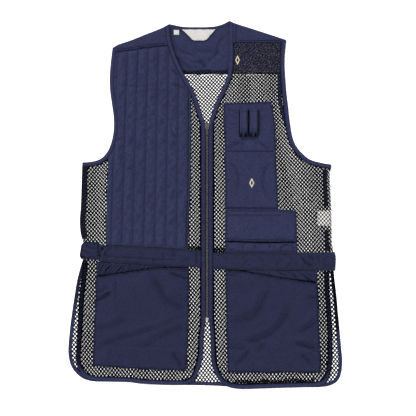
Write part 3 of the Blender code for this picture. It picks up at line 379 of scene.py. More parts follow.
# Cells of the net, and how many lie on each side of its middle across and along.
NET_WIDTH = 7.7
NET_HEIGHT = 8.5
NET_COUNT = (70, 112)
NET_WALL = 1.1
BACK_HOLE = (4.1, 4.2)
FRONT_HOLE = (5.35, 5.5)
TIGHT_HOLE = 2.3
# The net hangs a little longer towards the hem: how its rows' spacing grows downwards.
NET_GROWTH = 3269.0
NET_LONGER = 1.041
# How far the back's rows and columns are turned, in degrees, and how unevenly they lie.
NET_LEAN = (4.2, 2.6)
NET_PULL = 1.2
FRONT_SLOPE = -0.137
# How much of a cell is left outside its panel's edge, and where the net is closed or drawn tight.
NET_SQUEEZE = 0.2
COVER_MARGIN = 9.0
JOINT_MARGIN = 4.6
# Points of the net that lie closer than this are one.
WELD = 0.05
# The row at which the back's net is parted into two objects.
BACK_SPLIT = -100.0
# How far patches meet along the edges that they share, and where the chest pocket meets panel and belt.
PAD_HEM_X = (-212, -42)
BELT_LEFT_X = (-234, -42)
BELT_RIGHT_X = (50, 240)
PAD_ARMHOLE_Y = (104, 340)
PAD_NECK_Y = (266, 350)
CHEST_JOINTS = (((50, -8.6), (156, -9.4)), ((50, -105), (196, -105)))
# Where the net is drawn tight into small holes, which darkens it: two lines above each belt, and one inside the right
# hem, where the darker band is painted shadow above the hem binding.
DRAWN_LEFT = (((-44, -96), (-6, -97.2)), ((-44, -99), (-6, -100.2)))
DRAWN_RIGHT = (((12, -99), (48, -99)), ((12, -103), (48, -103)))
HEM_DRAWN = 13.5
HEM_DRAWN_X = (64, 238)

STITCH_PITCH, STITCH_SIZE = 3.1, (2.5, 0.55, 0.55)
TEETH_PITCH, TOOTH_SIZE = 1.7, (3.2, 1.2, 1.3)
# How far the zip's two rows of teeth are from its middle, and from the chain's lower and upper end.
TEETH_SIDE = 1.0
TEETH_ENDS = (1, 2)

# Size of the flecks that fibres make in woven cloth, and the turn of its twill lines.
FLECK = 3.4
TWILL_TURN = math.radians(135)

CAMERA_AT = (6.05, -6.82, 4000.0)
VIEW_WIDTH = 915.2
# In metres: half the floor's side, how far down it lies, and how far the camera sees.
FLOOR_HALF = 6.0
FLOOR_DROP = 0.2 * MM
SEEN_TO = 50
# Sun lights: name, turn in radians, strength, and how wide the light is in degrees. Then the sky's strength.
LIGHTS = (("key", (-0.62, -0.6, 0.0), 4.2, 18), ("top", (0.0, 0.0, 0.0), 2.2, 8))
SKY = 0.4

# Each piece's surface by its name, to lay the stitches on.
surfaces = {}
# Pairs of a piece's name and a path on it that is sewn.
sewing = []


def clean(values):
    return np.asarray(values, float)


def vectors(points):
    return [Vector(point) for point in points]


def ease(share):
    share = np.clip(share, 0, 1)
    return share * share * (3 - 2 * share)


def wave(points):
    """Soft waves of the cloth, from -1 to 1."""
    x, y = points[:, 0], points[:, 1]
    return 0.5 * np.sin(x / 31 + 0.9 * np.sin(y / 47)) + 0.5 * np.sin(y / 37 + 0.8 * np.sin(x / 53))


def ripple(points, length, seed=0.0):
    """Small uneven bumps about a length apart, from -1 to 1."""
    x, y = points[:, 0] / length, points[:, 1] / length
    first = np.sin(2.1 * x + 1.3 * np.sin(1.7 * y + seed) + seed)
    return 0.5 * first + 0.5 * np.sin(1.9 * y + 1.1 * np.sin(2.3 * x - seed) + 2 * seed)


def smooth(points, step=STEP):
    """Points about a step apart on a smooth curve through the named points."""
    knots = vectors(points)
    ends = [2 * knots[0] - knots[1], *knots, 2 * knots[-1] - knots[-2]]
    path = [knots[0]]
    for before, start, end, after in zip(ends, ends[1:], ends[2:], ends[3:]):
        length = (end - start).length
        leave = (end - before) * length / (length + (start - before).length)
        arrive = (after - start) * length / (length + (after - end).length)
        count = max(1, round(length / step))
        for t in (i / count for i in range(1, count + 1)):
            path.append(
                start * (2 * t**3 - 3 * t**2 + 1) + leave * (t**3 - 2 * t**2 + t)
                + end * (3 * t**2 - 2 * t**3) + arrive * (t**3 - t**2)
            )
    return path


def left_normals(path):
    """At each point the sideways vector that keeps an offset of 1 square to both neighbouring runs."""
    runs = [(b - a).normalized() for a, b in zip(path, path[1:])]
    turned = [Vector((-run.y, run.x)) for run in runs]
    return [turned[0], *((a + b) / (1 + a.dot(b)) for a, b in zip(turned, turned[1:])), turned[-1]]


def offset(path, distance):
    return [point + normal * distance for point, normal in zip(path, left_normals(path))]


def edge(points, inset=0.0):
    return offset(smooth(points), inset)


def straight(start, end):
    """Points a step apart on a straight run."""
    start, end = vectors((start, end))
    count = max(1, round((end - start).length / STEP))
    return [start.lerp(end, i / count) for i in range(count + 1)]


# The free edges beside the zip: the left one from the hem up, the right one from the zip's top down.
front_edge_left = [*smooth(FRONT_EDGE_LEFT), *straight(FRONT_EDGE_LEFT[-1], NECKLINE_LEFT[0])[1:]]
front_edge_right = [*straight(NECKLINE_RIGHT[-1], FRONT_EDGE_RIGHT[0]), *smooth(FRONT_EDGE_RIGHT)[1:]]


def meet(first, second, reach=40.0, near=1.5):
    """Trims or lengthens two runs so that the first ends where the second starts."""
    if (first[-1] - second[0]).length < near:
        return first, [first[-1], *second[1:]]
    first = [*first, first[-1] + (first[-1] - first[-2]).normalized() * reach]
    second = [second[0] + (second[0] - second[1]).normalized() * reach, *second]
    pairs = [(i, j) for i in range(len(first) - 1) for j in range(len(second) - 1)]
    for i, j in sorted(pairs, key=lambda pair: pair[1] - pair[0]):
        point = intersect_line_line_2d(first[i], first[i + 1], second[j], second[j + 1])
        if point:
            return [*first[: i + 1], point], [point, *second[j + 1 :]]
    raise ValueError(f"two edges of one outline don't meet near {first[-1]} and {second[0]}")


def stepped(points):
    """The closed outline with no step under 1 mm and none much over the usual one."""
    kept = []
    for point in points:
        if not kept or (point - kept[-1]).length > 1.0:
            kept.append(point)
    if (kept[0] - kept[-1]).length < 1.0:
        kept.pop()
    found = []
    for a, b in zip(kept, [*kept[1:], kept[0]]):
        count = max(1, round((b - a).length / STEP))
        found += [a.lerp(b, i / count) for i in range(count)]
    return clean(found)


def outline(*runs):
    """A closed outline from runs that follow each other, cut where they cross, with even steps."""
    runs = [list(run) for run in runs]
    for i in range(len(runs)):
        j = (i + 1) % len(runs)
        runs[i], runs[j] = meet(runs[i], runs[j])
    return stepped([point for run in runs for point in run[:-1]])


def patch_outline(points):
    return stepped(vectors(points))


def level_run(point, reach=25.0):
    """A level run across a side edge where the vest is parted at the waist."""
    x, y = Vector(point)
    return vectors(((x - reach, y + GAP / 2), (x + reach, y + GAP / 2)))


def near_path(points, path, closed=False):
    """For each point: its distance to the path, on which side of it it is, its nearest place, and the
    share of the path before that place."""
    path = clean(path)
    start = path if closed else path[:-1]
    run = (np.roll(path, -1, 0) if closed else path[1:]) - start
    square = (run**2).sum(1)
    before = np.concatenate([[0], np.cumsum(np.sqrt(square))])
    parts = []
    for chunk in np.array_split(clean(points), len(points) // 3000 + 1):
        away = chunk[:, None] - start
        t = np.clip((away * run).sum(2) / square, 0, 1)
        place = start + t[:, :, None] * run
        gap = np.linalg.norm(chunk[:, None] - place, axis=2)
        k, row = gap.argmin(1), np.arange(len(chunk))
        cross = run[k, 0] * away[row, k, 1] - run[k, 1] * away[row, k, 0]
        along = (before[k] + t[row, k] * np.sqrt(square[k])) / before[-1]
        parts.append((gap[row, k], np.sign(cross), place[row, k], along))
    return [np.concatenate(part) for part in zip(*parts)]


def close_to(points, path, width, closed=False):
    """1 on the path, falling softly to nothing beside it."""
    return np.exp(-((near_path(points, path, closed)[0] / width) ** 2))


def spot(points, middle, size):
    """1 in the middle of a soft round spot, falling to nothing outside it."""
    return np.exp(-(((points - middle) / size) ** 2).sum(1))


def depth_in(points, loop):
    """How far inside the loop each point is; below zero outside."""
    points, loop = clean(points), clean(loop)
    after = np.roll(loop, -1, 0)
    gap = near_path(points, loop, True)[0]
    odd = []
    for chunk in np.array_split(points, len(points) // 3000 + 1):
        x, y = chunk[:, :1], chunk[:, 1:]
        crosses = (loop[:, 1] > y) != (after[:, 1] > y)
        rise = np.where(after[:, 1] == loop[:, 1], 1, after[:, 1] - loop[:, 1])
        ahead = x < loop[:, 0] + (after[:, 0] - loop[:, 0]) * (y - loop[:, 1]) / rise
        odd.append((crosses & ahead).sum(1) % 2 == 1)
    return np.where(np.concatenate(odd), gap, -gap)


def clipped(path, loop, margin=2.0):
    path = clean(path)
    return path[depth_in(path, loop) > margin]


def between(path, low, high, axis=0):
    """The part of a path between two values of x, or of y for axis 1."""
    path = clean(path)
    return path[(path[:, axis] > low) & (path[:, axis] < high)]


def inset(loop, distance):
    """The closed outline moved inwards, without what a corner would cross over."""
    loop = clean(loop)
    run = np.roll(loop, -1, 0) - loop
    run /= np.linalg.norm(run, axis=1)[:, None]
    after = np.stack([-run[:, 1], run[:, 0]], 1)
    before = np.roll(after, 1, 0)
    normal = (before + after) / np.maximum(0.3, 1 + (before * after).sum(1))[:, None]
    moved = loop + normal * distance
    return moved[depth_in(moved, loop) > 0.96 * distance]


def seam_inside(loop, distance=PATCH_SEAM):
    """A sewn line all round, as one open run that ends where it starts."""
    line = inset(loop, distance)
    return np.concatenate([line, line[:1]])


def placed(name, data, at=(0, 0, 0)):
    obj = bpy.data.objects.new(name, data)
    obj.location = at
    scene.collection.objects.link(obj)
    return obj


def points_of(mesh):
    """A mesh's points in millimetres."""
    points = np.empty(len(mesh.vertices) * 3, np.float32)
    mesh.vertices.foreach_get("co", points)
    return points.reshape(-1, 3) / MM


def move_points(mesh, points):
    mesh.vertices.foreach_set("co", (points * MM).astype(np.float32).ravel())
    mesh.update()


def add_mesh(name, points, faces, material, shade, sharp=50):
    """A mesh object from points in millimetres. Shade is painted shade on the cloth in its folds, seams and shadows,
    and below zero a painted highlight on its ridges. Sharp is the angle in degrees that stays an edge."""
    mesh = bpy.data.meshes.new(name)
    mesh.from_pydata(clean(points) * MM, [], faces)
    shape = bmesh.new()
    shape.from_mesh(mesh)
    bmesh.ops.recalc_face_normals(shape, faces=shape.faces)
    shape.to_mesh(mesh)
    shape.free()
    mesh.materials.append(material)
    mesh.shade_smooth()
    mesh.set_sharp_from_angle(angle=math.radians(sharp))
    darker = mesh.attributes.new("shade", "FLOAT", "POINT")
    darker.data.foreach_set("value", np.clip(shade, -1, 1).astype(np.float32))
    surfaces[name] = BVHTree.FromPolygons(vectors(points), faces)
    return placed(name, mesh)


def ride(obj, slot, *nodes):
    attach(obj, "vest")
    if nodes:
        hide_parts(*nodes)


def declare(loop):
    """Works out the size and area of cloth cut to this outline and laid flat; nothing uses them."""
    x, y = clean(loop).T
    size = np.ptp(clean(loop), axis=0)
    area = min(abs(np.dot(x, np.roll(y, -1)) - np.dot(y, np.roll(x, -1))) / 2, size.prod()) * MM * MM


def triangulated(loop, inner=()):
    points = np.concatenate([loop, inner]) if len(inner) else clean(loop)
    ring = [list(range(len(loop)))]
    made, _, faces, sources, _, owners = delaunay_2d_cdt(vectors(points), [], ring, 1, 1e-5, True)
    if len(made) != len(points):
        raise ValueError("an outline crosses itself, or two of its points meet")
    source = [min(ids) for ids in sources]
    return points, [[source[k] for k in face] for face, owner in zip(faces, owners) if owner]


def quads(rows, around, closed=False):
    """Faces between rows of points that go once round each, with closed also from the last to the first."""
    pairs = [(k, k + 1) for k in range(rows - 1)] + [(rows - 1, 0)] * closed
    return [
        [a * around + i, a * around + j, b * around + j, b * around + i]
        for a, b in pairs for i, j in zip(range(around), [*range(1, around), 0])
    ]


def spread_points(loop, cell):
    """Points of a staggered grid inside the loop."""
    low, high = loop.min(0), loop.max(0)
    rows, across = int((high[1] - low[1]) / (cell * 0.87)) + 1, int((high[0] - low[0]) / cell) + 2
    j, i = np.mgrid[0:rows, 0:across]
    x = low[0] + (i + 0.5 * (j % 2)) * cell
    return np.stack([x.ravel(), (low[1] + (j + 0.5) * cell * 0.87).ravel()], 1)


def thinned(points, nearest):
    """The points without those that come closer than this to an earlier one. Earlier ones matter more."""
    _, first = np.unique(np.round(points / nearest).astype(int), axis=0, return_index=True)
    return points[np.sort(first)]


def crease_change(points, creases):
    """How far creases lower or raise the cloth at each point, and their painted shade, with a painted highlight on
    the ridge beside each.
    """
    change, shade = np.zeros(len(points)), np.zeros(len(points))
    for depth, half, line in creases:
        gap, side, _, along = near_path(points, smooth(line, 4))
        fade = 0.3 + 0.7 * ease(6 * np.minimum(along, 1 - along))
        across = gap * side / half
        change += CREASE_RELIEF * depth * fade * (0.45 * np.exp(-((across - 1.7) ** 2)) - np.exp(-(across**2)))
        tone = CREASE_SHADE * math.copysign(math.sqrt(abs(depth) * min(1, 3.5 / half)), depth) * fade
        beside = 0.3 if depth < 0 else 1.0
        shade += tone * (np.exp(-((1.2 * across + 0.4) ** 2)) - beside * np.exp(-((across - 1.4) ** 2)))
    return change, shade


def shell(name, loop, base, top, material, cell, rim=1.3, seams=(), creases=(), extra=(), hollow=None,
          rim_tone=0.8, seam_tone=0.8):
    """A wall of cloth with a soft rounded edge, sewn lines pressed into it and creases across it. Top is a level, or
    a function of the points and of how far inside the edge they are. Painted light gives painted shade where the
    cloth folds in or lies in shadow, and a painted highlight below zero. The rounded edge and the sewn lines get
    painted shade by rim shade and seam shade. Extra points are added where the form needs them."""
    rings = [inset(loop, 0.3 * rim), inset(loop, rim)]
    lines = [(vectors(path), SEAM_HALF, (-1, 0, 1)) for path in seams]
    lines += [(smooth(line, 5), half, (-1.2, -0.6, 0, 0.6, 1.2, 2)) for _, half, line in creases]
    wanted = [clean(offset(path, k * half)) for path, half, sides in lines for k in sides]
    wanted = np.concatenate([*wanted, clean(extra).reshape(-1, 2), spread_points(loop, cell)])
    wanted = thinned(wanted, min(1.2, cell / 3))
    wanted = wanted[depth_in(wanted, loop) > 1.5 * rim]
    wanted = wanted[near_path(wanted, rings[1], True)[0] > 0.6]
    points, faces = triangulated(loop, np.concatenate([*rings, wanted]))
    inside = depth_in(points, loop)
    inside[: len(loop)] = 0
    change, shade = crease_change(points, creases)
    height = top(points, inside) if callable(top) else np.full(len(points), float(top))
    height = height + change * ease(0.3 + inside / 12)
    if hollow:
        shade = shade + hollow(points)
    for path in seams:
        pressed = close_to(points, path, SEAM_HALF)
        height -= SEAM_DEPTH * pressed
        shade = np.maximum(shade, seam_tone * pressed)
    height = np.maximum(height, base + 0.5)
    rounded = np.sqrt(1 - (1 - np.clip(inside / rim, 0, 1)) ** 2)
    height = base + (height - base) * (0.35 + 0.65 * rounded)
    shade = np.maximum(shade, rim_tone * (1 - rounded))
    count, around = len(points), len(loop)
    faces += [[count + k for k in reversed(face)] for face in triangulated(loop)[1]]
    faces += [[k, count + k, count + (k + 1) % around, (k + 1) % around] for k in range(around)]
    solid = np.column_stack([np.concatenate([points, loop]), np.concatenate([height, np.full(around, base)])])
    return add_mesh(name, solid, faces, material, np.concatenate([shade, np.full(around, 0.5)]))


def cloth(node, loop, base, top, material, cell, rests_on=None, slot="cotton", **details):
    """A shell in the place of a solid, with sewing along its seams."""
    piece = shell(node + "_cloth", loop, base, top, material, cell, **details)
    ride(piece, slot, node)
    if rests_on is None:
        rests_on = ["front_mesh_left" if "left" in node else "front_mesh_right"]
    declare(loop)
    sewing.extend((node + "_cloth", path) for path in details.get("seams", ()))


def uneven_top(level, swell, slope, seed=0.0):
    """A top that is fuller away from its edges, with small uneven bumps."""

    def top(points, inside):
        full = swell * (0.7 + 0.3 * wave(points)) * ease(inside / slope)
        return level + full + 0.12 * ripple(points, 11, seed) * ease(inside / 8)

    return top


# Materials


def colour(code):
    """An sRGB hex value as the linear colour that shaders take."""
    parts = [int(code[k : k + 2], 16) / 255 for k in (1, 3, 5)]
    return (*(part / 12.92 if part <= 0.04045 else ((part + 0.055) / 1.055) ** 2.4 for part in parts), 1)


def add(tree, kind, links=None, **settings):
    """Adds a node with its own settings, its inputs linked or set, and gives its outputs."""
    node = tree.nodes.new(kind)
    for key, value in settings.items():
        setattr(node, key, value)
    for key, value in (links or {}).items():
        for part in value if isinstance(value, list) else [value]:
            if isinstance(part, bpy.types.NodeSocket):
                tree.links.new(part, node.inputs[key])
            else:
                node.inputs[key].default_value = part
    return node.outputs


def start_material(name, values):
    """A material whose Principled shader has these values on its own sockets, and its Object coordinates."""
    material = bpy.data.materials.new(name)
    material.use_nodes = True
    tree = material.node_tree
    shader = tree.nodes["Principled BSDF"]
    for key, value in values.items():
        shader.inputs[key].default_value = value
    return material, tree, shader, add(tree, "ShaderNodeTexCoord")["Object"]


def finish_material(tree, shader, dark, layers, noise, rough, vary, height, strength, relief):
    """Lays the layers' colours over the dark one by their shares, and sets how matt it is and its relief."""
    tone = colour(dark)
    for share, code in layers:
        tone = add(tree, "ShaderNodeMix", {"Factor": share, 6: tone, 7: colour(code)}, data_type="RGBA")[2]
    matt = add(tree, "ShaderNodeMapRange", {"Value": noise, "To Min": rough - vary, "To Max": rough + vary})[0]
    bump = add(tree, "ShaderNodeBump", {"Height": height, "Strength": strength, "Distance": relief * MM})[0]
    for key, value in (("Base Color", tone), ("Roughness", matt), ("Normal", bump)):
        tree.links.new(value, shader.inputs[key])


def woven(name, dark, light, twill=4.4, rough=0.88, sheen=0.1, relief=0.12, patch=24.0, shade_colour="#030306",
          highlight_colour="#363a5e", mottle=0.22, shine=0.2):
    """Woven cloth: twill lines and fibres in relief, soft mottling, painted shade in folds and seams and a painted
    highlight on ridges. The twill is drawn about three times as coarse as a real one, so that it shows at all."""
    material, tree, shader, place = start_material(name, {"Sheen Roughness": 0.45, "IOR": 1.46})
    mottling, fibres = (
        add(tree, "ShaderNodeTexNoise", {"Vector": place, "Scale": 1 / (size * MM), "Detail": detail,
                                         "Roughness": crisp})["Fac"]
        for size, detail, crisp in ((patch, 4.0, 0.62), (FLECK, 3.0, 0.75))
    )
    turned = add(tree, "ShaderNodeMapping", {"Vector": place, "Rotation": (0, 0, TWILL_TURN)})[0]
    # A wave texture repeats once in this many metres at a scale of pi / 10 over them.
    lines = add(tree, "ShaderNodeTexWave", {
        "Vector": turned, "Scale": math.pi / 10 / (twill * MM), "Distortion": 1.2, "Detail": 2.0,
        "Detail Scale": 2.5,
    }, bands_direction="X")["Fac"]
    tone = add(tree, "ShaderNodeMath", {0: mottling, 1: mottle, 2: fibres}, operation="MULTIPLY_ADD")[0]
    tone = add(tree, "ShaderNodeMath", {0: lines, 1: 0.1, 2: tone}, operation="MULTIPLY_ADD")[0]
    middle = 0.55 + 0.5 * mottle
    tone = add(tree, "ShaderNodeMapRange", {"Value": tone, "From Min": middle - 0.2, "From Max": middle + 0.2})[0]
    # Painted shade: the shade attribute mixes in the shade colour and takes sheen and shine away in folds, seams and
    # shadows. Below zero it mixes in the highlight colour as a painted highlight on ridges.
    fold = add(tree, "ShaderNodeAttribute", attribute_name="shade")["Fac"]
    ridge = add(tree, "ShaderNodeMath", {0: fold, 1: -1.0}, operation="MULTIPLY")[0]
    for socket, full in (("Sheen Weight", sheen), ("Specular IOR Level", shine)):
        left = add(tree, "ShaderNodeMapRange", {"Value": fold, "To Min": full, "To Max": 0.0})[0]
        tree.links.new(left, shader.inputs[socket])
    layers = ((tone, light), (fold, shade_colour), (ridge, highlight_colour))
    height = add(tree, "ShaderNodeMath", {0: lines, 1: 0.7, 2: fibres}, operation="MULTIPLY_ADD")[0]
    finish_material(tree, shader, dark, layers, fibres, rough, 0.06, height, 0.6, relief)
    return material


def plain_finish(name, dark, light, rough, grain, relief=0.02, metallic=0.0, spread=0.5, lit=None, **values):
    """A fine-grained finish whose tone and gloss vary a little over the surface. A smaller spread parts the light and
    dark grains more. Where the attribute lit says so, some grains have the lit colour, as painted glints of light."""
    material, tree, shader, place = start_material(name, {"Metallic": metallic, **values})
    noise = add(tree, "ShaderNodeTexNoise", {"Vector": place, "Scale": 1 / (grain * MM), "Detail": 4.0})["Fac"]
    grains = add(tree, "ShaderNodeMapRange", {"Value": noise, "From Min": 0.5 - spread, "From Max": 0.5 + spread})[0]
    layers = [(grains, light)]
    if lit:
        over = add(tree, "ShaderNodeAttribute", attribute_name="lit")["Fac"]
        specks = add(tree, "ShaderNodeMapRange", {"Value": noise, "From Min": 0.54, "From Max": 0.62})[0]
        layers.append((add(tree, "ShaderNodeMath", {0: over, 1: specks}, operation="MULTIPLY")[0], lit))
    finish_material(tree, shader, dark, layers, noise, rough, 0.08, noise, 0.5, relief)
    return material


# Woven cotton drill, dyed navy: matt, with a faint bloom from its fibre ends.
navy_cotton = woven("woven_navy_cotton", "#0f1329", "#232744")
# The same cloth in the lower pockets, where it looks darker.
deep_cotton = woven("woven_deep_navy_cotton", "#090c1f", "#1a1e3a", highlight_colour="#2d3156")
# Cotton tape, folded over the edges: a finer, tighter weave.
navy_tape = woven("woven_navy_cotton_tape", "#0f1329", "#1f2340", twill=3.0, patch=14.0, highlight_colour="#2b2f52")
# Black polyester tape: closed weave with little shine.
black_tape = woven(
    "woven_black_polyester_tape", "#030305", "#09090d", twill=3.0, sheen=0.01, shine=0.03, shade_colour="#010102",
    highlight_colour="#1c1d2c",
)
# Warp-knitted polyester net: black matt yarn, with painted glints of warm light on it where dark cloth lies behind
# it.
black_net = plain_finish(
    "knitted_black_polyester_net", "#020203", "#0e0e12", rough=0.75, grain=2.4, relief=0.1, spread=0.14,
    lit="#5c503f", **{"Specular IOR Level": 0.02},
)
# Satin-woven polyester label: off-white and smooth.
satin = {"twill": 2.4, "rough": 0.6, "relief": 0.05, "shade_colour": "#1c1c20"}
label_satin = woven("woven_off_white_satin", "#979593", "#a8a6a3", highlight_colour="#b4b3b0", mottle=0.1, **satin)
# A whiter and plainer ribbon for the blank care label, which shows bright through the net.
white_satin = woven("woven_white_satin_ribbon", "#bab8b6", "#c8c6c4", highlight_colour="#cfcecb", mottle=0.08, **satin)
# Embroidery thread in close satin stitches, cream and a little shiny.
cream_thread = woven(
    "embroidered_cream_thread", "#938a72", "#b9b19a", twill=2.0, shade_colour="#2a2414", highlight_colour="#d6cfba"
)
# Spun polyester sewing thread, dyed to the cloth and matt.
navy_thread = plain_finish("spun_navy_polyester_thread", "#0c0e1e", "#1b1e38", rough=0.8, grain=0.8, relief=0.05)
# Nickel-plated die-cast zinc: soft grey reflections with fine tumbling marks.
nickel = plain_finish(
    "plated_nickel_zinc", "#151413", "#3a3836", rough=0.42, grain=1.4, relief=0.03, metallic=1.0, spread=0.2
)
# Zip teeth of oxidised brass, with some lighter grains.
dark_brass = plain_finish(
    "oxidised_brass_teeth", "#1e1e1e", "#6b6966", rough=0.45, grain=1.6, metallic=1.0, spread=0.16
)
# Cast zinc of the zip's box, bare and a little yellowed.
bare_zinc = plain_finish("bare_cast_zinc", "#504d49", "#817c76", rough=0.5, grain=1.6, metallic=1.0)
# White laminate under the vest, matt and even.
pale_floor = plain_finish("matt_white_laminate", "#f4f4f4", "#f8f8f8", rough=0.8, grain=60.0, relief=0.0)


# Net, stitches and teeth


def node_tree(name, *labels):
    """A geometry node tree whose named inputs are lengths, and last a material. Gives the tree, the inputs'
    sockets and their identifiers."""
    tree = bpy.data.node_groups.new(name, "GeometryNodeTree")
    tree.interface.new_socket("Geometry", in_out="INPUT", socket_type="NodeSocketGeometry")
    ids = {}
    for label in labels:
        kind = "NodeSocketMaterial" if label == labels[-1] else "NodeSocketFloat"
        ids[label] = tree.interface.new_socket(label, in_out="INPUT", socket_type=kind).identifier
    tree.interface.new_socket("Geometry", in_out="OUTPUT", socket_type="NodeSocketGeometry")
    return tree, add(tree, "NodeGroupInput"), ids


def end_tree(tree, geometry, material, soft):
    smoothed = add(tree, "GeometryNodeSetShadeSmooth", {"Geometry": geometry, "Shade Smooth": soft})[0]
    finished = add(tree, "GeometryNodeSetMaterial", {"Geometry": smoothed, "Material": material})[0]
    add(tree, "NodeGroupOutput", {0: finished})


def grown(name, start, tree, ids, *values):
    """Runs a geometry node tree on a start mesh and gives the result as a plain mesh object."""
    seed = placed(name + "_start", start)
    modifier = seed.modifiers.new("grow", "NODES")
    modifier.node_group = tree
    for key, value in zip(ids.values(), values):
        modifier[key] = value * MM if isinstance(value, float) else value
    graph = bpy.context.evaluated_depsgraph_get()
    graph.update()
    mesh = bpy.data.meshes.new_from_object(seed.evaluated_get(graph), depsgraph=graph)
    bpy.data.objects.remove(seed)
    mesh.name = name
    return placed(name, mesh)


def net_tree():
    """Cells of net at the start mesh's points: a lozenge with a six-sided hole, a small one where the point's
    attribute says tight, or none where it says plain. They are joined, and given their thickness."""
    tree, given, ids = node_tree(
        "net", "Cell width", "Cell height", "Hole width", "Hole height", "Tight hole", "Wall", "Yarn"
    )

    def ring(corners, width, height, turn):
        size = add(tree, "ShaderNodeCombineXYZ", {"X": given[width], "Y": given[height], "Z": 1.0})[0]
        circle = add(tree, "GeometryNodeCurvePrimitiveCircle", {"Resolution": corners, "Radius": 0.5}, mode="RADIUS")
        turned = add(tree, "GeometryNodeTransform", {"Geometry": circle[0], "Rotation": (0, 0, turn)})[0]
        return add(tree, "GeometryNodeTransform", {"Geometry": turned, "Scale": size})[0]

    lozenge = ring(4, "Cell width", "Cell height", 0.0)
    plain, tight = (
        add(tree, "GeometryNodeInputNamedAttribute", {"Name": name}, data_type="BOOLEAN")[0]
        for name in ("plain", "tight")
    )
    holed = add(tree, "FunctionNodeBooleanMath", {0: plain, 1: tight}, operation="NOR")[0]
    cells = []
    for chosen, hole in ((holed, ("Hole width", "Hole height")), (tight, ("Tight hole", "Tight hole")), (plain, ())):
        rings = [lozenge, ring(6, *hole, math.pi / 2)] if hole else [lozenge]
        both = add(tree, "GeometryNodeJoinGeometry", {0: rings})[0]
        cell = add(tree, "GeometryNodeFillCurve", {"Curve": both})[0]
        links = {"Points": given["Geometry"], "Selection": chosen, "Instance": cell}
        cells.append(add(tree, "GeometryNodeInstanceOnPoints", links)[0])
    copies = add(tree, "GeometryNodeJoinGeometry", {0: cells})[0]
    real = add(tree, "GeometryNodeRealizeInstances", {"Geometry": copies})[0]
    flat = add(tree, "GeometryNodeMergeByDistance", {"Geometry": real, "Distance": WELD * MM})[0]
    raised = add(
        tree, "GeometryNodeExtrudeMesh", {"Mesh": flat, "Offset Scale": given["Wall"], "Individual": False},
        mode="FACES",
    )["Mesh"]
    under = add(tree, "GeometryNodeFlipFaces", {"Mesh": flat})[0]
    closed = add(tree, "GeometryNodeJoinGeometry", {0: [raised, under]})[0]
    welded = add(tree, "GeometryNodeMergeByDistance", {"Geometry": closed, "Distance": WELD * MM})[0]
    end_tree(tree, welded, given["Yarn"], True)
    return tree, ids


net_nodes = net_tree()


def net_waves(points):
    """How unevenly the net lies at its points, from about -1.6 to 1.6 across and along."""
    x, y = points.T
    return np.stack([
        np.sin(y / 61 + 1.1) + 0.6 * np.sin(x / 43 + y / 97), np.sin(x / 71 + 0.4) + 0.6 * np.sin(y / 53 - x / 88),
    ], 1)


def net(name, node, loop, base, hole, rests_on=(), covers=(), joints=(), drawn=(), lift=None, lit=None,
        shift=0.0, slope=0.0, rows=(-math.inf, math.inf)):
    """A net panel. Shift moves its columns against the back's ones, and slope tilts its rows against the back's,
    which gives two layers their herringbone. Under covers the net is left closed, because it isn't seen there. Under
    joints it is left closed too, a dark sheet that shows in the gaps between patches as painted shadow, and along the
    drawn lines its holes are drawn small, which darkens it. Rows are the lowest and the highest level of the lattice
    that it keeps. Lift raises it, and lit gives it painted glints of light."""
    a, b = (math.radians(angle) for angle in NET_LEAN)
    skew = clean([[math.cos(a), math.sin(a)], [-math.sin(b), math.cos(b)]])

    def laid(points):
        across, up = points.T
        up = NET_LONGER * NET_GROWTH * (1 - np.exp(-up / NET_GROWTH))
        even = np.stack([across + shift, up], 1) @ skew
        sag = slope * (even[:, 0] + 20 * net_waves(even / 1.7)[:, 1])
        even = even + sag[:, None] * skew[1]
        return even + NET_PULL * net_waves(even)

    across, up = NET_COUNT
    j, i = np.mgrid[-up:up, -across:across]
    lattice = np.stack([((i + 0.5 * (j % 2)) * NET_WIDTH).ravel(), (j * NET_HEIGHT / 2).ravel()], 1)
    lattice = lattice[(lattice[:, 1] >= rows[0]) & (lattice[:, 1] < rows[1])]
    spots = laid(lattice)
    kept = ((spots > loop.min(0) - 5) & (spots < loop.max(0) + 5)).all(1)
    kept[kept] = depth_in(spots[kept], loop) > -0.5
    lattice, spots = lattice[kept], spots[kept]
    plain, tight = np.zeros((2, len(spots)), bool)
    for cover in covers:
        plain |= depth_in(spots, cover) > COVER_MARGIN
    for chosen, paths in ((plain, joints), (tight, drawn)):
        for path in paths:
            chosen |= near_path(spots, path)[0] < JOINT_MARGIN
    start = bpy.data.meshes.new(name + "_cells")
    start.from_pydata(np.column_stack([lattice, np.zeros(len(lattice))]) * MM, [], [])
    for label, chosen in (("plain", plain), ("tight", tight & ~plain)):
        start.attributes.new(label, "BOOLEAN", "POINT").data.foreach_set("value", chosen)
    obj = grown(name, start, *net_nodes, NET_WIDTH, NET_HEIGHT, *hole, TIGHT_HOLE, NET_WALL, black_net)
    points = points_of(obj.data)
    flat = laid(points[:, :2].astype(float))
    outside = np.flatnonzero(depth_in(flat, loop) < 0)
    if len(outside):
        place = near_path(flat[outside], loop, True)[2]
        flat[outside] = place + NET_SQUEEZE * (flat[outside] - place)
    if lit:
        obj.data.attributes.new("lit", "FLOAT", "POINT").data.foreach_set("value", lit(flat).astype(np.float32))
    move_points(obj.data, np.column_stack([flat, base + points[:, 2] + (lift(flat) if lift else 0)]))
    ride(obj, "mesh", node)
    declare(np.column_stack([loop[:, 0], np.clip(loop[:, 1], *rows)]))


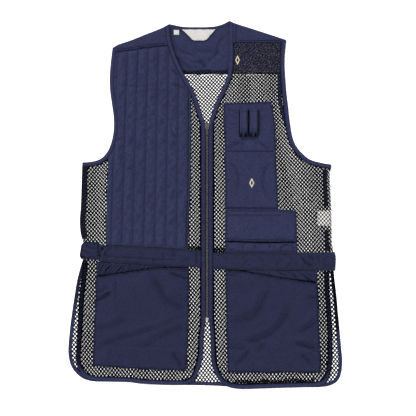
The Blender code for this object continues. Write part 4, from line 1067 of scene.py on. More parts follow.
def row_of(name, points, edges, teeth, pitch, size, material):
    """Zip teeth or rounded stitches a pitch apart along lines. Stitches follow the line's direction."""
    tree, given, ids = node_tree(name, "Pitch", "Length", "Width", "Height", "Finish")
    curve = add(tree, "GeometryNodeMeshToCurve", {"Mesh": given["Geometry"]})[0]
    spaced = add(tree, "GeometryNodeResampleCurve", {"Curve": curve, "Length": given["Pitch"]}, mode="LENGTH")[0]
    scale = add(tree, "ShaderNodeCombineXYZ", {"X": given["Length"], "Y": given["Width"], "Z": given["Height"]})[0]
    if teeth:
        block = add(tree, "GeometryNodeMeshCylinder", {"Vertices": 8, "Radius": 0.5, "Depth": 1.0})["Mesh"]
        bead = add(tree, "GeometryNodeTransform", {"Geometry": block, "Rotation": (0, math.pi / 2, 0)})[0]
        turn = (0, 0, 0)
    else:
        bead = add(tree, "GeometryNodeMeshIcoSphere", {"Radius": 0.5, "Subdivisions": 1})["Mesh"]
        tangent = add(tree, "GeometryNodeInputTangent")[0]
        turn = add(tree, "FunctionNodeAlignRotationToVector", {"Vector": tangent}, axis="X")[0]
    links = {"Points": spaced, "Instance": bead, "Rotation": turn, "Scale": scale}
    copies = add(tree, "GeometryNodeInstanceOnPoints", links)[0]
    real = add(tree, "GeometryNodeRealizeInstances", {"Geometry": copies})[0]
    end_tree(tree, real, given["Finish"], not teeth)
    start = bpy.data.meshes.new(name + "_lines")
    start.from_pydata(clean(points) * MM, edges, [])
    return grown(name, start, tree, ids, pitch, *size, material)


# Camera, floor and light


def make_studio():
    """A camera straight above the middle of the photograph's frame, a white floor and soft light."""
    data = bpy.data.cameras.new("camera")
    data.sensor_width = 36
    data.lens = data.sensor_width * CAMERA_AT[2] / VIEW_WIDTH
    data.clip_end = SEEN_TO
    scene.camera = placed("camera", data, [value * MM for value in CAMERA_AT])
    mesh = bpy.data.meshes.new("floor")
    corners = [(x * FLOOR_HALF, y * FLOOR_HALF, 0) for x, y in ((-1, -1), (1, -1), (1, 1), (-1, 1))]
    mesh.from_pydata(corners, [], [(0, 1, 2, 3)])
    mesh.materials.append(pale_floor)
    placed("floor", mesh, (0, 0, -FLOOR_DROP))
    for name, turn, strength, spread in LIGHTS:
        light = bpy.data.lights.new(name, "SUN")
        light.energy = strength
        light.angle = math.radians(spread)
        placed(name, light).rotation_euler = turn
    scene.world = bpy.data.worlds.new("studio")
    scene.world.use_nodes = True
    sky = scene.world.node_tree.nodes["Background"].inputs
    sky["Color"].default_value, sky["Strength"].default_value = (1, 1, 1, 1), SKY
    scene.view_settings.view_transform = "Standard"


# Trims


def tape(name, node, path, width, base, top, material=black_tape, slot="dark_binding", cuts=(None, None),
         section=FLAT_SECTION, pucker=0.0, tones=((0, 0),), dots=0.0):
    """A folded tape with its free edge on the path and its body on the path's left. Pucker is how much its
    sewing draws it up, and dots how strongly small lighter spots of net show through it."""
    normals = left_normals(path)
    for i, cut in zip((0, -1), cuts):
        if cut:
            normals[i] = cut / cut.dot(normals[i])
    path, normals = clean(path), clean(normals)
    run = np.concatenate([[0], np.cumsum(np.linalg.norm(np.diff(path, axis=0), axis=1))])
    draw = pucker * (np.sin(run / 2.9 + np.sin(run / 17)) + 0.6 * np.sin(run / 5.3 + 2))
    height = top - base
    deeper = np.interp(path[:, 1], *clean(tones).T)
    rows, shade = [], []
    for share, level, dark in section:
        lively = draw * math.sin(math.pi * min(1, max(0, share))) * (level > 0.8)
        rows.append(np.column_stack([path + normals * share * width, base + height * level + lively]))
        spots = dots * np.maximum(0, np.sin(2 * math.pi * (run / DOT_PITCH + 1.3 * share) + 0.9 * np.sin(run / 23)))
        # The section's painted shade, with a painted highlight where the sewing puckers the tape up and more painted
        # shade where it draws it in, the darkening along its way, less the dots.
        shade.append(dark - 0.25 * draw + deeper - spots)
    for share in (section[-1][0], 0.0):
        rows.append(np.column_stack([path + normals * share * width, np.full(len(path), float(base))]))
        shade.append(np.full(len(path), 0.6))
    ring = len(rows)
    points = np.stack(rows, 1).reshape(-1, 3)
    faces = [list(range(ring)), list(range(len(points) - ring, len(points))), *quads(len(path), ring)]
    obj = add_mesh(name, points, faces, material, np.stack(shade, 1).ravel(), sharp=70)
    ride(obj, slot, node)


def mitre(first, second):
    """The direction of the cut between two tapes where the first path ends and the second starts."""
    middle = (first[-1] - first[-2]).normalized() + (second[1] - second[0]).normalized()
    return Vector((-middle.y, middle.x))


def shortened(path, length=GAP / 2):
    """The path with a length taken off both ends."""
    for _ in range(2):
        path = [path[0] + (path[1] - path[0]).normalized() * length, *path[1:]][::-1]
    return path


def tape_chain(trims, before, after, width, base, top, section, pucker=0.0):
    """Bindings that follow each other, mitred where they meet. The first is cut along the end of the edge
    before it and the last along the start of the edge after it, or else both level."""
    first_cut = Vector(before[-2]) - Vector(before[-1]) if before else Vector((1, 0))
    last_cut = Vector(after[1]) - Vector(after[0]) if after else Vector((-1, 0))
    paths = [path for _, path in trims]
    cuts = [first_cut, *(mitre(a, b) for a, b in zip(paths, paths[1:])), last_cut]
    for (node, path), start, end in zip(trims, cuts, cuts[1:]):
        path, side = shortened(path), node.startswith("front_side")
        tape(
            node + "_tape", node, path, width, base, top, navy_tape, "dark_binding" if side else "binding",
            (start, end), BAND_SECTION if "band" in node else section, pucker,
            BINDING_TONES.get(node, ((0, 0),)), SIDE_DOTS * side,
        )
        sewing.append((node + "_tape", offset(path, 0.84 * width)))


def stretch(path, high, low):
    """The part of an upright path that lies between two levels, with its ends on them."""
    path = sorted(path, key=lambda point: -point.y)
    found = []
    for a, b in zip(path, path[1:]):
        for level in (high, low):
            if b.y < level <= a.y:
                found.append(a.lerp(b, (a.y - level) / (a.y - b.y)))
        if low < b.y < high:
            found.append(b)
    return sorted(found, key=lambda point: -point.y)


def make_back():
    """The back: its net in two panels' worth of cells, the yoke and the bindings."""
    seam = smooth(BACK_YOKE_SEAM)
    loop = outline(
        edge(ARMHOLE_LEFT, TUCK), edge(SIDE_LEFT_HIGH, SIDE_TUCK), level_run(SIDE_LEFT_LOW[0]),
        edge(SIDE_LEFT_LOW, TUCK), edge(BACK_HEM, TUCK), edge(SIDE_RIGHT_LOW, TUCK), level_run(SIDE_RIGHT_LOW[-1]),
        edge(SIDE_RIGHT_HIGH, SIDE_TUCK), edge(BACK_ARMHOLE_RIGHT, TUCK), offset(seam, -GAP / 2)[::-1],
    )
    for name, rows in (("back_net_upper", (BACK_SPLIT, math.inf)), ("back_net_lower", (-math.inf, BACK_SPLIT))):
        net(name, "back_mesh", loop, BACK_BASE, BACK_HOLE, rows=rows)
    under = BACK_BINDING - LAP
    loop = outline(
        edge(SHOULDER_LEFT), edge(ARMHOLE_LEFT, under), offset(seam, GAP / 2), edge(BACK_ARMHOLE_RIGHT, under),
        edge(SHOULDER_RIGHT), edge(BACK_NECK, NECK_BAND - LAP),
    )
    opening = outline(
        edge(NECKLINE_LEFT, -2), straight(NECKLINE_LEFT[-1], NECKLINE_RIGHT[0]), edge(NECKLINE_RIGHT, -2),
        straight((9, 180), (-2, 180)),
    )
    left, right, label = smooth(NECKLINE_LEFT), smooth(NECKLINE_RIGHT), patch_outline(NECK_LABEL)

    def top(points, inside):
        free = ease(depth_in(points, opening) / 14)
        return BACK_TOP - 0.05 + free * (0.35 + 0.25 * wave(points) + 0.15 * ripple(points, 13))

    # Painted shadows beside the neckline's bindings, round the neck label and in two spots, and the yoke made lighter
    # behind the right front's net.
    def shadow(points):
        dark = 0.8 * np.exp(-near_path(points, left)[0] / 3.5) + 0.35 * np.exp(-near_path(points, right)[0] / 2.5)
        dark = dark + 0.8 * close_to(points, label, 2.4, True) - 0.35 * ease((points[:, 0] - YOKE_LIT_X) / 8)
        for tone, middle, size in YOKE_SHADOWS:
            dark = dark + tone * spot(points, middle, size)
        return dark

    around = [left, offset(left, -2.5), offset(left, -5), offset(right, -2.5), label, inset(label, -1.5)]
    extra = np.concatenate([clean(path) for path in (*around, inset(label, -3))])
    cloth(
        "back_yoke", loop, 0, top, navy_cotton, cell=6, rests_on=[], creases=CREASES_BACK_YOKE, hollow=shadow,
        extra=extra,
    )
    net("back_net_lap", "back_mesh", patch_outline(BACK_NET_LAP), BACK_TOP, BACK_HOLE, ["back_yoke"])
    path = vectors(between(seam, *YOKE_TAPE_X))
    tape("back_yoke_seam_tape", "back_mesh", path, YOKE_TAPE_WIDTH, BACK_TOP, BACK_TOP + YOKE_TAPE_WALL)
    sides = [
        ("back_side_binding_left", smooth(SIDE_LEFT_LOW)), ("back_hem_binding", smooth(BACK_HEM)),
        ("back_side_binding_right", smooth(SIDE_RIGHT_LOW)),
    ]
    neck = [("back_neck_binding", smooth(BACK_NECK))]
    for trims, before, after, width in (
        (sides, None, None, BACK_BINDING), (neck, SHOULDER_RIGHT, SHOULDER_LEFT, NECK_BAND),
        ([("back_armhole_binding_left", smooth(ARMHOLE_LEFT))], SHOULDER_LEFT, SIDE_LEFT_HIGH, BACK_BINDING),
        ([("back_armhole_binding_right", smooth(BACK_ARMHOLE_RIGHT))], SIDE_RIGHT_HIGH, SHOULDER_RIGHT, BACK_BINDING),
    ):
        tape_chain(trims, before, after, width, 0, BACK_TOP, FLAT_SECTION)


def label_lift(points):
    """How far the right front rises over the care label under it."""
    low, high = clean(CARE_LABEL[0]), clean(CARE_LABEL[2])
    out = np.maximum(np.maximum(low - points, points - high).max(1), 0)
    return LABEL_LIFT * ease(1 - (out - LIFT_MARGIN) / LIFT_SLOPE)


def yoke_glints(points):
    """1 on the right front's net over the back's yoke, where its yarn gets painted glints of warm light."""
    return ease((points[:, 1] - BACK_YOKE_SEAM[0][1]) / 3)


def make_fronts(covers_left, covers_right):
    """The fronts' nets and yokes. Where two patches meet the net is closed, a dark sheet that shows in the gap as
    painted shadow, and it is drawn tight above the belts and at the right hem, where its darker band is painted
    shadow above the hem binding."""
    seam_left, seam_right = smooth(YOKE_SEAM_LEFT), smooth(YOKE_SEAM_RIGHT)
    loop_left = outline(
        edge(ARMHOLE_LEFT, TUCK), edge(SIDE_LEFT_HIGH, SIDE_TUCK)[:-1], level_run(FRONT_SIDE_LEFT[0]),
        edge(FRONT_SIDE_LEFT, TUCK), edge(FRONT_HEM_LEFT, TUCK), offset(front_edge_left, TUCK),
        edge(NECKLINE_LEFT, TUCK), offset(seam_left, -GAP / 2)[::-1],
    )
    loop_right = outline(
        edge(NECKLINE_RIGHT, TUCK), offset(front_edge_right, TUCK), edge(FRONT_HEM_RIGHT, TUCK),
        edge(FRONT_SIDE_RIGHT, TUCK), level_run(FRONT_SIDE_RIGHT[-1]), edge(SIDE_RIGHT_HIGH, SIDE_TUCK),
        edge(ARMHOLE_RIGHT, TUCK), offset(seam_right, -GAP / 2)[::-1],
    )
    joints_left = [
        between(smooth(PAD_HEM), *PAD_HEM_X), between(smooth(BELT_LEFT_LOW), *BELT_LEFT_X),
        between(smooth(POCKET_MOUTH_LEFT), *BELT_LEFT_X), between(edge(ARMHOLE_LEFT, BINDING), *PAD_ARMHOLE_Y, 1),
        between(edge(NECKLINE_LEFT, BINDING), *PAD_NECK_Y, 1),
    ]
    joints_right = [straight(*run) for run in CHEST_JOINTS]
    joints_right += [between(smooth(run), *BELT_RIGHT_X) for run in (BELT_RIGHT_LOW, POCKET_MOUTH_RIGHT)]
    drawn_left = [straight(*run) for run in DRAWN_LEFT]
    drawn_right = [*(straight(*run) for run in DRAWN_RIGHT), between(edge(FRONT_HEM_RIGHT, HEM_DRAWN), *HEM_DRAWN_X)]
    for side, loop, *details in (
        ("left", loop_left, covers_left, joints_left, drawn_left, None, None),
        ("right", loop_right, covers_right, joints_right, drawn_right, label_lift, yoke_glints),
    ):
        net(
            "front_net_" + side, "front_mesh_" + side, loop, FRONT_BASE, FRONT_HOLE, ["back_mesh"], *details,
            shift=NET_WIDTH / 4, slope=FRONT_SLOPE,
        )
    under = BINDING - LAP
    yoke_left = outline(
        edge(SHOULDER_LEFT), edge(ARMHOLE_LEFT, under), offset(seam_left, GAP / 2), edge(NECKLINE_LEFT, under),
    )
    yoke_right = outline(
        edge(SHOULDER_RIGHT), edge(NECKLINE_RIGHT, under), offset(seam_right, GAP / 2), edge(ARMHOLE_RIGHT, under),
    )
    for side, loop, lines, seed in (
        ("left", yoke_left, [offset(seam_left, YOKE_SEW)], 0.4),
        ("right", yoke_right, [offset(seam_right, YOKE_SEW), edge(NECKLINE_RIGHT, BINDING + NECK_SEW)], 2.1),
    ):
        top = uneven_top(FRONT_BASE + YOKE_WALL - 0.2, swell=0.5, slope=14, seed=seed)
        seams = [clipped(line, loop) for line in lines]
        cloth(
            "front_yoke_" + side, loop, FRONT_BASE, top, navy_cotton, cell=5, rests_on=["back_yoke"], seams=seams
        )


def make_trims():
    """Bindings round the fronts, bands beside the zip, and the dark seam strips at the sides."""
    left = [
        ("front_side_binding_left", smooth(FRONT_SIDE_LEFT, FINE_STEP)),
        ("front_hem_binding_left", smooth(FRONT_HEM_LEFT)), ("front_band_left", front_edge_left),
        ("neck_binding_left", smooth(NECKLINE_LEFT)),
    ]
    right = [
        ("neck_binding_right", smooth(NECKLINE_RIGHT)), ("front_band_right", front_edge_right),
        ("front_hem_binding_right", smooth(FRONT_HEM_RIGHT)),
        ("front_side_binding_right", smooth(FRONT_SIDE_RIGHT, FINE_STEP)),
    ]
    for trims, before, after in (
        ([("armhole_binding_left", smooth(ARMHOLE_LEFT))], SHOULDER_LEFT, SIDE_LEFT_HIGH),
        ([("armhole_binding_right", smooth(ARMHOLE_RIGHT))], SIDE_RIGHT_HIGH, SHOULDER_RIGHT),
        (left, None, SHOULDER_LEFT), (right, SHOULDER_RIGHT, None),
    ):
        tape_chain(trims, before, after, BINDING, FRONT_BASE, BINDING_TOP, TAPE_SECTION, 0.16)
    path = offset(smooth(SIDE_RIGHT_HIGH, FINE_STEP), SEAM_RIGHT_INSET)
    for node, path, width in (
        ("side_seam_left", stretch(smooth(SIDE_LEFT_HIGH, FINE_STEP), *SEAM_LEFT_Y), SEAM_LEFT_WIDTH),
        ("side_seam_right_high", stretch(path, *SEAM_RIGHT_Y[0])[::-1], SIDE_STRIP),
        ("side_seam_right_low", stretch(path, *SEAM_RIGHT_Y[1])[::-1], SIDE_STRIP),
    ):
        tape(
            node + "_tape", node, path, width, PATCH_BASE, PATCH_BASE + SEAM_WALL, section=STRIP_SECTION,
            pucker=0.1, dots=STRIP_DOTS,
        )


# The quilted pad


def quilt_line(y, k):
    """Where seam line k of the quilting crosses the levels y, and how far the next line is from it."""
    share = (QUILT_Y[0] - y) / (QUILT_Y[0] - QUILT_Y[1])
    start = QUILT_START[0] + share * (QUILT_START[1] - QUILT_START[0])
    pitch = QUILT_PITCH[0] + share * (QUILT_PITCH[1] - QUILT_PITCH[0])
    return start + k * pitch, pitch


def channels(points):
    """Where the points lie across the quilting, in channels, and how far from the nearest line."""
    start, pitch = quilt_line(points[:, 1], 0)
    phase = (points[:, 0] - start) / pitch
    return phase, np.minimum(phase % 1.0, 1 - phase % 1.0) * pitch


def settle(obj, held):
    """Lets the cloth puff up and pucker between its held points by a cloth simulation, keeps the result as
    the object's shape, and gives how far each point rose, in millimetres."""
    group = obj.vertex_groups.new(name="sewn")
    group.add([int(k) for k in np.flatnonzero(held)], 1.0, "REPLACE")
    modifier = obj.modifiers.new("settle", "CLOTH")
    for key, value in (
        ("vertex_group_mass", "sewn"), ("mass", 0.0005), ("quality", 5), ("tension_stiffness", 15),
        ("compression_stiffness", 15), ("shear_stiffness", 15), ("bending_stiffness", 0.1),
        ("shrink_min", SETTLE_SLACK), ("use_pressure", True), ("uniform_pressure_force", SETTLE_PRESSURE),
    ):
        setattr(modifier.settings, key, value)
    modifier.settings.effector_weights.gravity = 0
    modifier.collision_settings.use_collision = False
    modifier.point_cache.frame_start, modifier.point_cache.frame_end = 1, SETTLE_FRAMES
    for number in range(1, SETTLE_FRAMES + 1):
        scene.frame_set(number)
    settled = obj.evaluated_get(bpy.context.evaluated_depsgraph_get())
    after = clean(points_of(settled.to_mesh()))
    settled.to_mesh_clear()
    obj.modifiers.remove(modifier)
    obj.vertex_groups.clear()
    scene.frame_set(1)
    before = clean(points_of(obj.data))
    moved = np.clip(after - before, -SETTLE_CAP, SETTLE_CAP)
    move_points(obj.data, before + moved)
    return moved[:, 2]


def make_pad():
    """The quilted pad: upright channels between sewn lines, drawn up a little along the sewing. Gives its
    outline."""
    loop = outline(
        edge(YOKE_SEAM_LEFT, -GAP / 2)[::-1], edge(ARMHOLE_LEFT, BINDING - LAP), edge(PAD_LEFT),
        edge(PAD_HEM, GAP / 2), edge(PAD_RIGHT)[::-1], edge(NECKLINE_LEFT, BINDING - LAP),
    )

    def top(points, inside):
        phase, from_seam = channels(points)
        seam = np.round(phase)
        swell = QUILT_CROWN * np.sin(np.pi * (phase % 1.0)) ** 0.6 * (1 + 0.08 * ripple(points, 16, 1.0))
        drawn = np.sin(points[:, 1] / 2.6 + 1.7 * seam + np.sin(points[:, 1] / 13 + seam))
        pucker = 0.16 * drawn * np.exp(-(((from_seam - 2.2) / 2.4) ** 2))
        return PATCH_BASE + QUILT_LOW + (swell + pucker) * ease(inside / QUILT_SLOPE)

    def line(k):
        return np.stack([quilt_line(QUILT_LEVELS, k)[0], QUILT_LEVELS], 1)

    name = "shoulder_pad_quilt"
    yoke_seam = smooth(YOKE_SEAM_LEFT)
    hem = clipped(edge(PAD_RIGHT, -HEM_SEW), loop, 3)
    # A line of painted shadow runs along the yoke seam.
    pad = shell(
        name, loop, PATCH_BASE, top, navy_cotton, cell=60, rim=1.6, seams=[hem], creases=CREASES_PAD,
        extra=np.concatenate([line(k + share) for k in range(-1, QUILT_CHANNELS + 1) for share in QUILT_SHARES]),
        hollow=lambda points: 0.95 * close_to(points, yoke_seam, 2.0),
    )
    places = clean(points_of(pad.data))
    from_seam = channels(places)[1]
    # It is held along its sewn lines, near its edge and underneath.
    free = (from_seam > 1.3) & (depth_in(places[:, :2], loop) > 3.0) & (places[:, 2] > PATCH_BASE + 0.5)
    risen = settle(pad, ~free)
    darker = pad.data.attributes["shade"].data
    shade = np.empty(len(places), np.float32)
    darker.foreach_get("value", shade)
    # The sewn lines get more painted shade towards the shoulder, and the puckers get painted shade where they sank
    # and a painted highlight where they rose.
    line_tone = 0.24 + 0.14 * ease((places[:, 1] - 180) / 100)
    shade = np.maximum(shade, line_tone * np.exp(-(from_seam**2))) - SETTLE_SHADE * risen
    darker.foreach_set("value", np.clip(shade, -1, 1).astype(np.float32))
    ride(pad, "cotton", "shoulder_pad")
    lines = [clipped(line(k), loop, 2.5) for k in range(QUILT_CHANNELS + 1)]
    sewing.extend((name, path) for path in [*lines, hem] if len(path) > 2)
    return loop


# Pockets, belts and panels


def upright_run(x, high, low):
    return vectors(((x, high), (x, low)))


def pocket(node, loop, creases):
    top = uneven_top(PATCH_TOP, POCKET_FULLNESS, POCKET_SLOPE, seed=1.0)
    seams = [seam_inside(loop, POCKET_SEAM)]
    cloth(node, loop, PATCH_BASE, top, deep_cotton, cell=4.2, seams=seams, creases=creases)


def gathered(node, loop, creases, mouth, mouth_width, slant, pitch, depth):
    """Cloth drawn up into slanting ridges between a belt and a pocket's mouth, with painted shade in its valleys, a
    painted highlight on its ridges and a painted shadow along the mouth.
    """

    def ridge(points):
        phase = (points[:, 0] + slant * points[:, 1]) / pitch + 0.7 * wave(points) + 0.5 * ripple(points, 19)
        return 0.5 + 0.5 * np.cos(2 * np.pi * phase)

    def top(points, inside):
        return PATCH_TOP + 2.2 * depth * ridge(points) * ease(inside / 7)

    def hollow(points):
        opening = close_to(points, mouth, np.interp(points[:, 0], *clean(mouth_width).T))
        return depth * (0.8 * (1 - ridge(points)) ** 3 - 0.35 * ridge(points) ** 3) + 1.2 * opening

    cloth(node, loop, PATCH_BASE, top, deep_cotton, cell=2.6, creases=creases, hollow=hollow)


def belt(node, loop, lines, creases):
    top = uneven_top(PATCH_BASE + BELT_WALL - 0.25, swell=0.45, slope=9, seed=3.0)
    cloth(
        node, loop, PATCH_BASE, top, deep_cotton, cell=4.5, rim=1.4, creases=creases,
        seams=[clipped(line, loop) for line in lines], rim_tone=0.4, seam_tone=0.4,
    )


def make_left_patches():
    """The left front's side tab, belt, gathered panel and pocket. Gives the outlines that cover its net."""
    tab = patch_outline(TAB_LEFT)
    # The tab's cloth gets a spot of painted shade under its corner.
    cloth(
        "belt_tab_left", tab, PATCH_BASE, PATCH_TOP, deep_cotton, cell=3, seams=[seam_inside(tab)],
        creases=CREASES_TAB, hollow=lambda points: 1.3 * spot(points, NOTCH_AT, NOTCH_SIZE),
    )
    zip_side = FRONT_EDGE_LEFT[-1][0] - BINDING - 2 * GAP
    belt_loop = outline(
        edge(PAD_HEM, -GAP / 2)[::-1], upright_run(BELT_LEFT_START, -60, -140), edge(BELT_LEFT_LOW, GAP / 2),
        upright_run(zip_side, -60, -160)[::-1],
    )
    lines = [edge(PAD_HEM, -BELT_SEAM), edge(BELT_LEFT_LOW, BELT_SEAM), smooth(BELT_LEFT_LINE)]
    lines.append(straight(*BELT_LEFT_BAR))
    belt("belt_left", belt_loop, lines, CREASES_BELT_LEFT)
    mouth = smooth(POCKET_MOUTH_LEFT)
    gather = outline(
        edge(BELT_LEFT_LOW, -GAP / 2)[::-1], edge(POCKET_LEFT_OUTER), offset(mouth, GAP / 2),
        upright_run(GATHER_LEFT_END, -110, -160)[::-1],
    )
    gathered("gather_left", gather, FOLDS_LEFT, mouth, MOUTH_WIDTH_LEFT, slant=-0.8, pitch=9.0, depth=0.9)
    loop = outline(
        offset(mouth, -GAP / 2)[::-1], edge(POCKET_LEFT_OUTER), edge(POCKET_LEFT_LOW),
        edge(POCKET_LEFT_INNER)[::-1],
    )
    pocket("pocket_left", loop, CREASES_POCKET_LEFT)
    return [belt_loop, gather, loop]


def make_right_patches():
    """The right front's chest panel, chest pocket with its flap, belt, gathered panel and pocket. Gives the
    outlines that cover its net."""
    panel, pouch, flap = (patch_outline(points) for points in (CHEST_PANEL, CHEST_POCKET, CHEST_FLAP))
    top = uneven_top(PATCH_TOP - 0.15, swell=0.5, slope=16, seed=5.0)
    cloth(
        "chest_panel", panel, PATCH_BASE, top, navy_cotton, cell=4.5,
        seams=[seam_inside(panel), clipped(straight(*PANEL_LINE), panel, 2.5), straight(*PANEL_BAR)],
        creases=CREASES_CHEST, rim_tone=0.5,
    )
    sewing.extend(("chest_panel_cloth", bar) for bar in PANEL_TACKS)
    lip = smooth(FLAP_LIP)
    # The pocket gets a painted shadow under the flap's edge.
    cloth(
        "chest_pocket", pouch, PATCH_BASE, PATCH_TOP - 0.1, navy_cotton, cell=5, seams=[seam_inside(pouch)],
        creases=CREASES_CHEST_POCKET, extra=LIP_POINTS, hollow=lambda points: 1.8 * close_to(points, lip, 1.6),
        rim_tone=0.4, seam_tone=0.5,
    )
    swell = uneven_top(OVER_BASE + CLOTH_WALL - 0.1, FLAP_FULLNESS, FLAP_SLOPE, seed=2.0)
    cloth(
        "chest_flap", flap, OVER_BASE,
        lambda points, inside: swell(points, inside) + FLAP_LIFT * ease((-30 - points[:, 1]) / 45),
        navy_cotton, cell=4.5, rests_on=["chest_pocket"],
        seams=[seam_inside(flap, FLAP_SEAM), clipped(straight(*FLAP_LINE), flap, 3)],
        creases=CREASES_FLAP, rim_tone=0.35, seam_tone=0.65,
    )
    zip_side = FRONT_EDGE_RIGHT[0][0] + BINDING + 2 * GAP
    belt_loop = outline(
        edge(BELT_RIGHT_HIGH)[::-1], upright_run(zip_side, -80, -170), edge(BELT_RIGHT_LOW, GAP / 2),
        edge(BELT_RIGHT_END),
    )
    lines = [edge(BELT_RIGHT_HIGH, -BELT_SEAM), edge(BELT_RIGHT_LOW, BELT_SEAM + 0.2), smooth(BELT_RIGHT_BOX)]
    belt("belt_right", belt_loop, lines, CREASES_BELT_RIGHT)
    mouth = smooth(POCKET_MOUTH_RIGHT)
    gather = outline(
        edge(BELT_RIGHT_LOW, -GAP / 2)[::-1], upright_run(GATHER_RIGHT_START, -120, -170), offset(mouth, GAP / 2),
        edge(POCKET_RIGHT_OUTER)[::-1],
    )
    gathered("gather_right", gather, FOLDS_RIGHT, mouth, MOUTH_WIDTH_RIGHT, slant=1.0, pitch=15.0, depth=0.3)
    loop = outline(
        offset(mouth, -GAP / 2)[::-1], edge(POCKET_RIGHT_INNER), edge(POCKET_RIGHT_LOW),
        edge(POCKET_RIGHT_OUTER)[::-1],
    )
    pocket("pocket_right", loop, CREASES_POCKET_RIGHT)
    return [panel, pouch, belt_loop, gather, loop]


def make_loop(node, left, right):
    """One narrow loop: an arch of cloth with an open upper mouth, drawn flat at its lower end."""
    middle, half = (left + right) / 2, (right - left - GAP) / 2
    table = clean(LOOP_STATIONS)[::-1]
    levels = np.linspace(table[0, 0], table[-1, 0], LOOP_ROWS)
    outer, inner = np.interp(levels, table[:, 0], table[:, 1]), np.interp(levels, table[:, 0], table[:, 2])
    turn = np.linspace(0, math.pi, LOOP_SIDES)
    points, shade = [], []
    for y, over, under in zip(levels, outer, inner):
        low = ease((162 - y) / 10)
        fold = 0.5 * low * np.cos(6 * turn)
        for width, height, out in ((half, over, 1), (half - LOOP_WALL, under, 0)):
            wide = -width * np.cos(turn) * (1 - 0.03 * out * math.cos(y / 6))
            tall = np.sin(turn) ** 0.85 * (height + out * (fold + 0.25 * math.sin(y / 5)))
            points.append(np.column_stack([middle + wide, np.full(LOOP_SIDES, y), OVER_BASE + tall]))
            # Painted shade on the sewn hem, along the arch's steep sides, in the pleats at its foot and all over its
            # inside, and a painted highlight on one side of its crown.
            hem = 0.6 * math.exp(-(((y - LOOP_HEM) / 0.9) ** 2))
            side = ease((np.abs(np.cos(turn)) - 0.74) / 0.16)
            pleat = low * (0.5 + 0.9 * np.cos(6 * turn + 0.6))
            light = -0.3 * np.exp(-(((np.cos(turn) + 0.35) / 0.3) ** 2)) * (1 - low)
            shade.append(np.maximum(np.maximum(side, hem), pleat) + light + 0.5 * (1 - out))
    ring, last = 2 * LOOP_SIDES, (LOOP_ROWS - 1) * 2 * LOOP_SIDES
    spans = []
    for a in range(0, last, ring):
        spans += [(a + k, 1, ring) for i in range(LOOP_SIDES - 1) for k in (i, LOOP_SIDES + i)]
        spans += [(a + foot, LOOP_SIDES, ring) for foot in (0, LOOP_SIDES - 1)]
    spans += [(a + i, 1, LOOP_SIDES) for a in (0, last) for i in range(LOOP_SIDES - 1)]
    faces = [[a, a + across, a + across + up, a + up] for a, across, up in spans]
    name = node + "_cloth"
    obj = add_mesh(name, np.concatenate(points), faces, navy_cotton, np.concatenate(shade), 60)
    ride(obj, "cotton", node)
    sewing.append((name, np.stack([middle - 0.93 * half * np.cos(turn), np.full(LOOP_SIDES, LOOP_HEM)], 1)))


def make_labels():
    """Blank labels with turned ends, and two plain diamonds of satin stitch."""
    top = uneven_top(FRONT_BASE + LABEL_WALL - 0.1, swell=0.2, slope=6, seed=1.0)
    for node, points, satin, rim, under in (
        ("neck_label", NECK_LABEL, label_satin, 0.9, "back_yoke"),
        ("size_tag", SIZE_TAG, label_satin, 0.6, "back_yoke"),
        ("care_label", CARE_LABEL, white_satin, 0.6, "back_mesh"),
    ):
        cloth(
            node, patch_outline(points), FRONT_BASE, top, satin, cell=4, rests_on=[under], slot="label", rim=rim
        )
    for node, (x, y, wide, tall), base in (
        ("mesh_mark", MESH_MARK, PATCH_BASE), ("panel_mark", PANEL_MARK, OVER_BASE)
    ):
        middle = clean((x, y))
        loop = patch_outline(((x + wide, y), (x, y + tall), (x - wide, y), (x, y - tall))) - middle
        points = np.concatenate([
            np.column_stack([middle + loop * share, np.full(len(loop), base + level)])
            for share, level in THREAD_SECTION
        ])
        faces = quads(len(THREAD_SECTION), len(loop), True)
        ride(add_mesh(node + "_thread", points, faces, cream_thread, np.zeros(len(points))), "thread", node)


# Sewing and zip


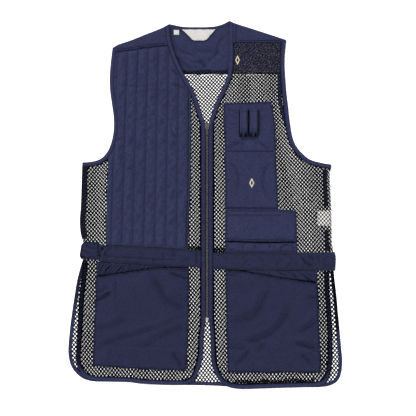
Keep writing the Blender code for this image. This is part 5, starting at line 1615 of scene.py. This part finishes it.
def on_surface(name, path, lift=0.08):
    """The path's points in space, on top of the named piece."""
    found = []
    for x, y in clean(path):
        place, _, _, _ = surfaces[name].ray_cast(Vector((x, y, 60)), Vector((0, 0, -1)))
        if place:
            found.append((x, y, place.z + lift))
    return found


def make_stitches():
    """Sewing along every sewn line, as one piece on the fronts and one on the back."""
    for name, behind in (("stitches_fronts", False), ("stitches_back", True)):
        points, edges = [], []
        for key, path in sewing:
            line = on_surface(key, path) if key.startswith("back") == behind else []
            if len(line) > 1:
                edges += [(k, k + 1) for k in range(len(points), len(points) + len(line) - 1)]
                points += line
        ride(row_of(name, points, edges, False, STITCH_PITCH, STITCH_SIZE, navy_thread), "thread")


def make_zip():
    """The chain's tape and teeth, and metal on the slider, the box and the pull tab."""
    low, high = CHAIN_Y
    points = [
        (ZIP_X + side * TEETH_SIDE, y, CHAIN_TOP - TOOTH_SIZE[2] / 2)
        for side, shift in ((-1, 0.0), (1, TEETH_PITCH / 2))
        for y in (low + TEETH_ENDS[0] + shift, high - TEETH_ENDS[1] + shift)
    ]
    teeth = row_of("zip_teeth", points, [(0, 1), (2, 3)], True, TEETH_PITCH, TOOTH_SIZE, dark_brass)
    ride(teeth, "zip_metal", "zip_chain")
    path = vectors([(ZIP_X + ZIP_TAPE_WIDTH / 2, y) for y in np.linspace(low - ZIP_TAPE_END, high, 60)])
    tape("zip_tape", "zip_chain", path, ZIP_TAPE_WIDTH, FRONT_BASE, FRONT_BASE + ZIP_TAPE_WALL)
    for name, metal in (("zip_slider", nickel), ("zip_box", bare_zinc), ("zip_pull", nickel)):
        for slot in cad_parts[name].material_slots:
            slot.material = metal


make_studio()
make_back()
pad = make_pad()
covers_left = [pad, *make_left_patches()]
covers_right = make_right_patches()
make_fronts(covers_left, covers_right)
make_trims()
make_loop("shell_loop_left", LOOP_EDGES[0], LOOP_EDGES[1])
make_loop("shell_loop_right", LOOP_EDGES[1], LOOP_EDGES[2])
make_labels()
make_zip()
make_stitches()
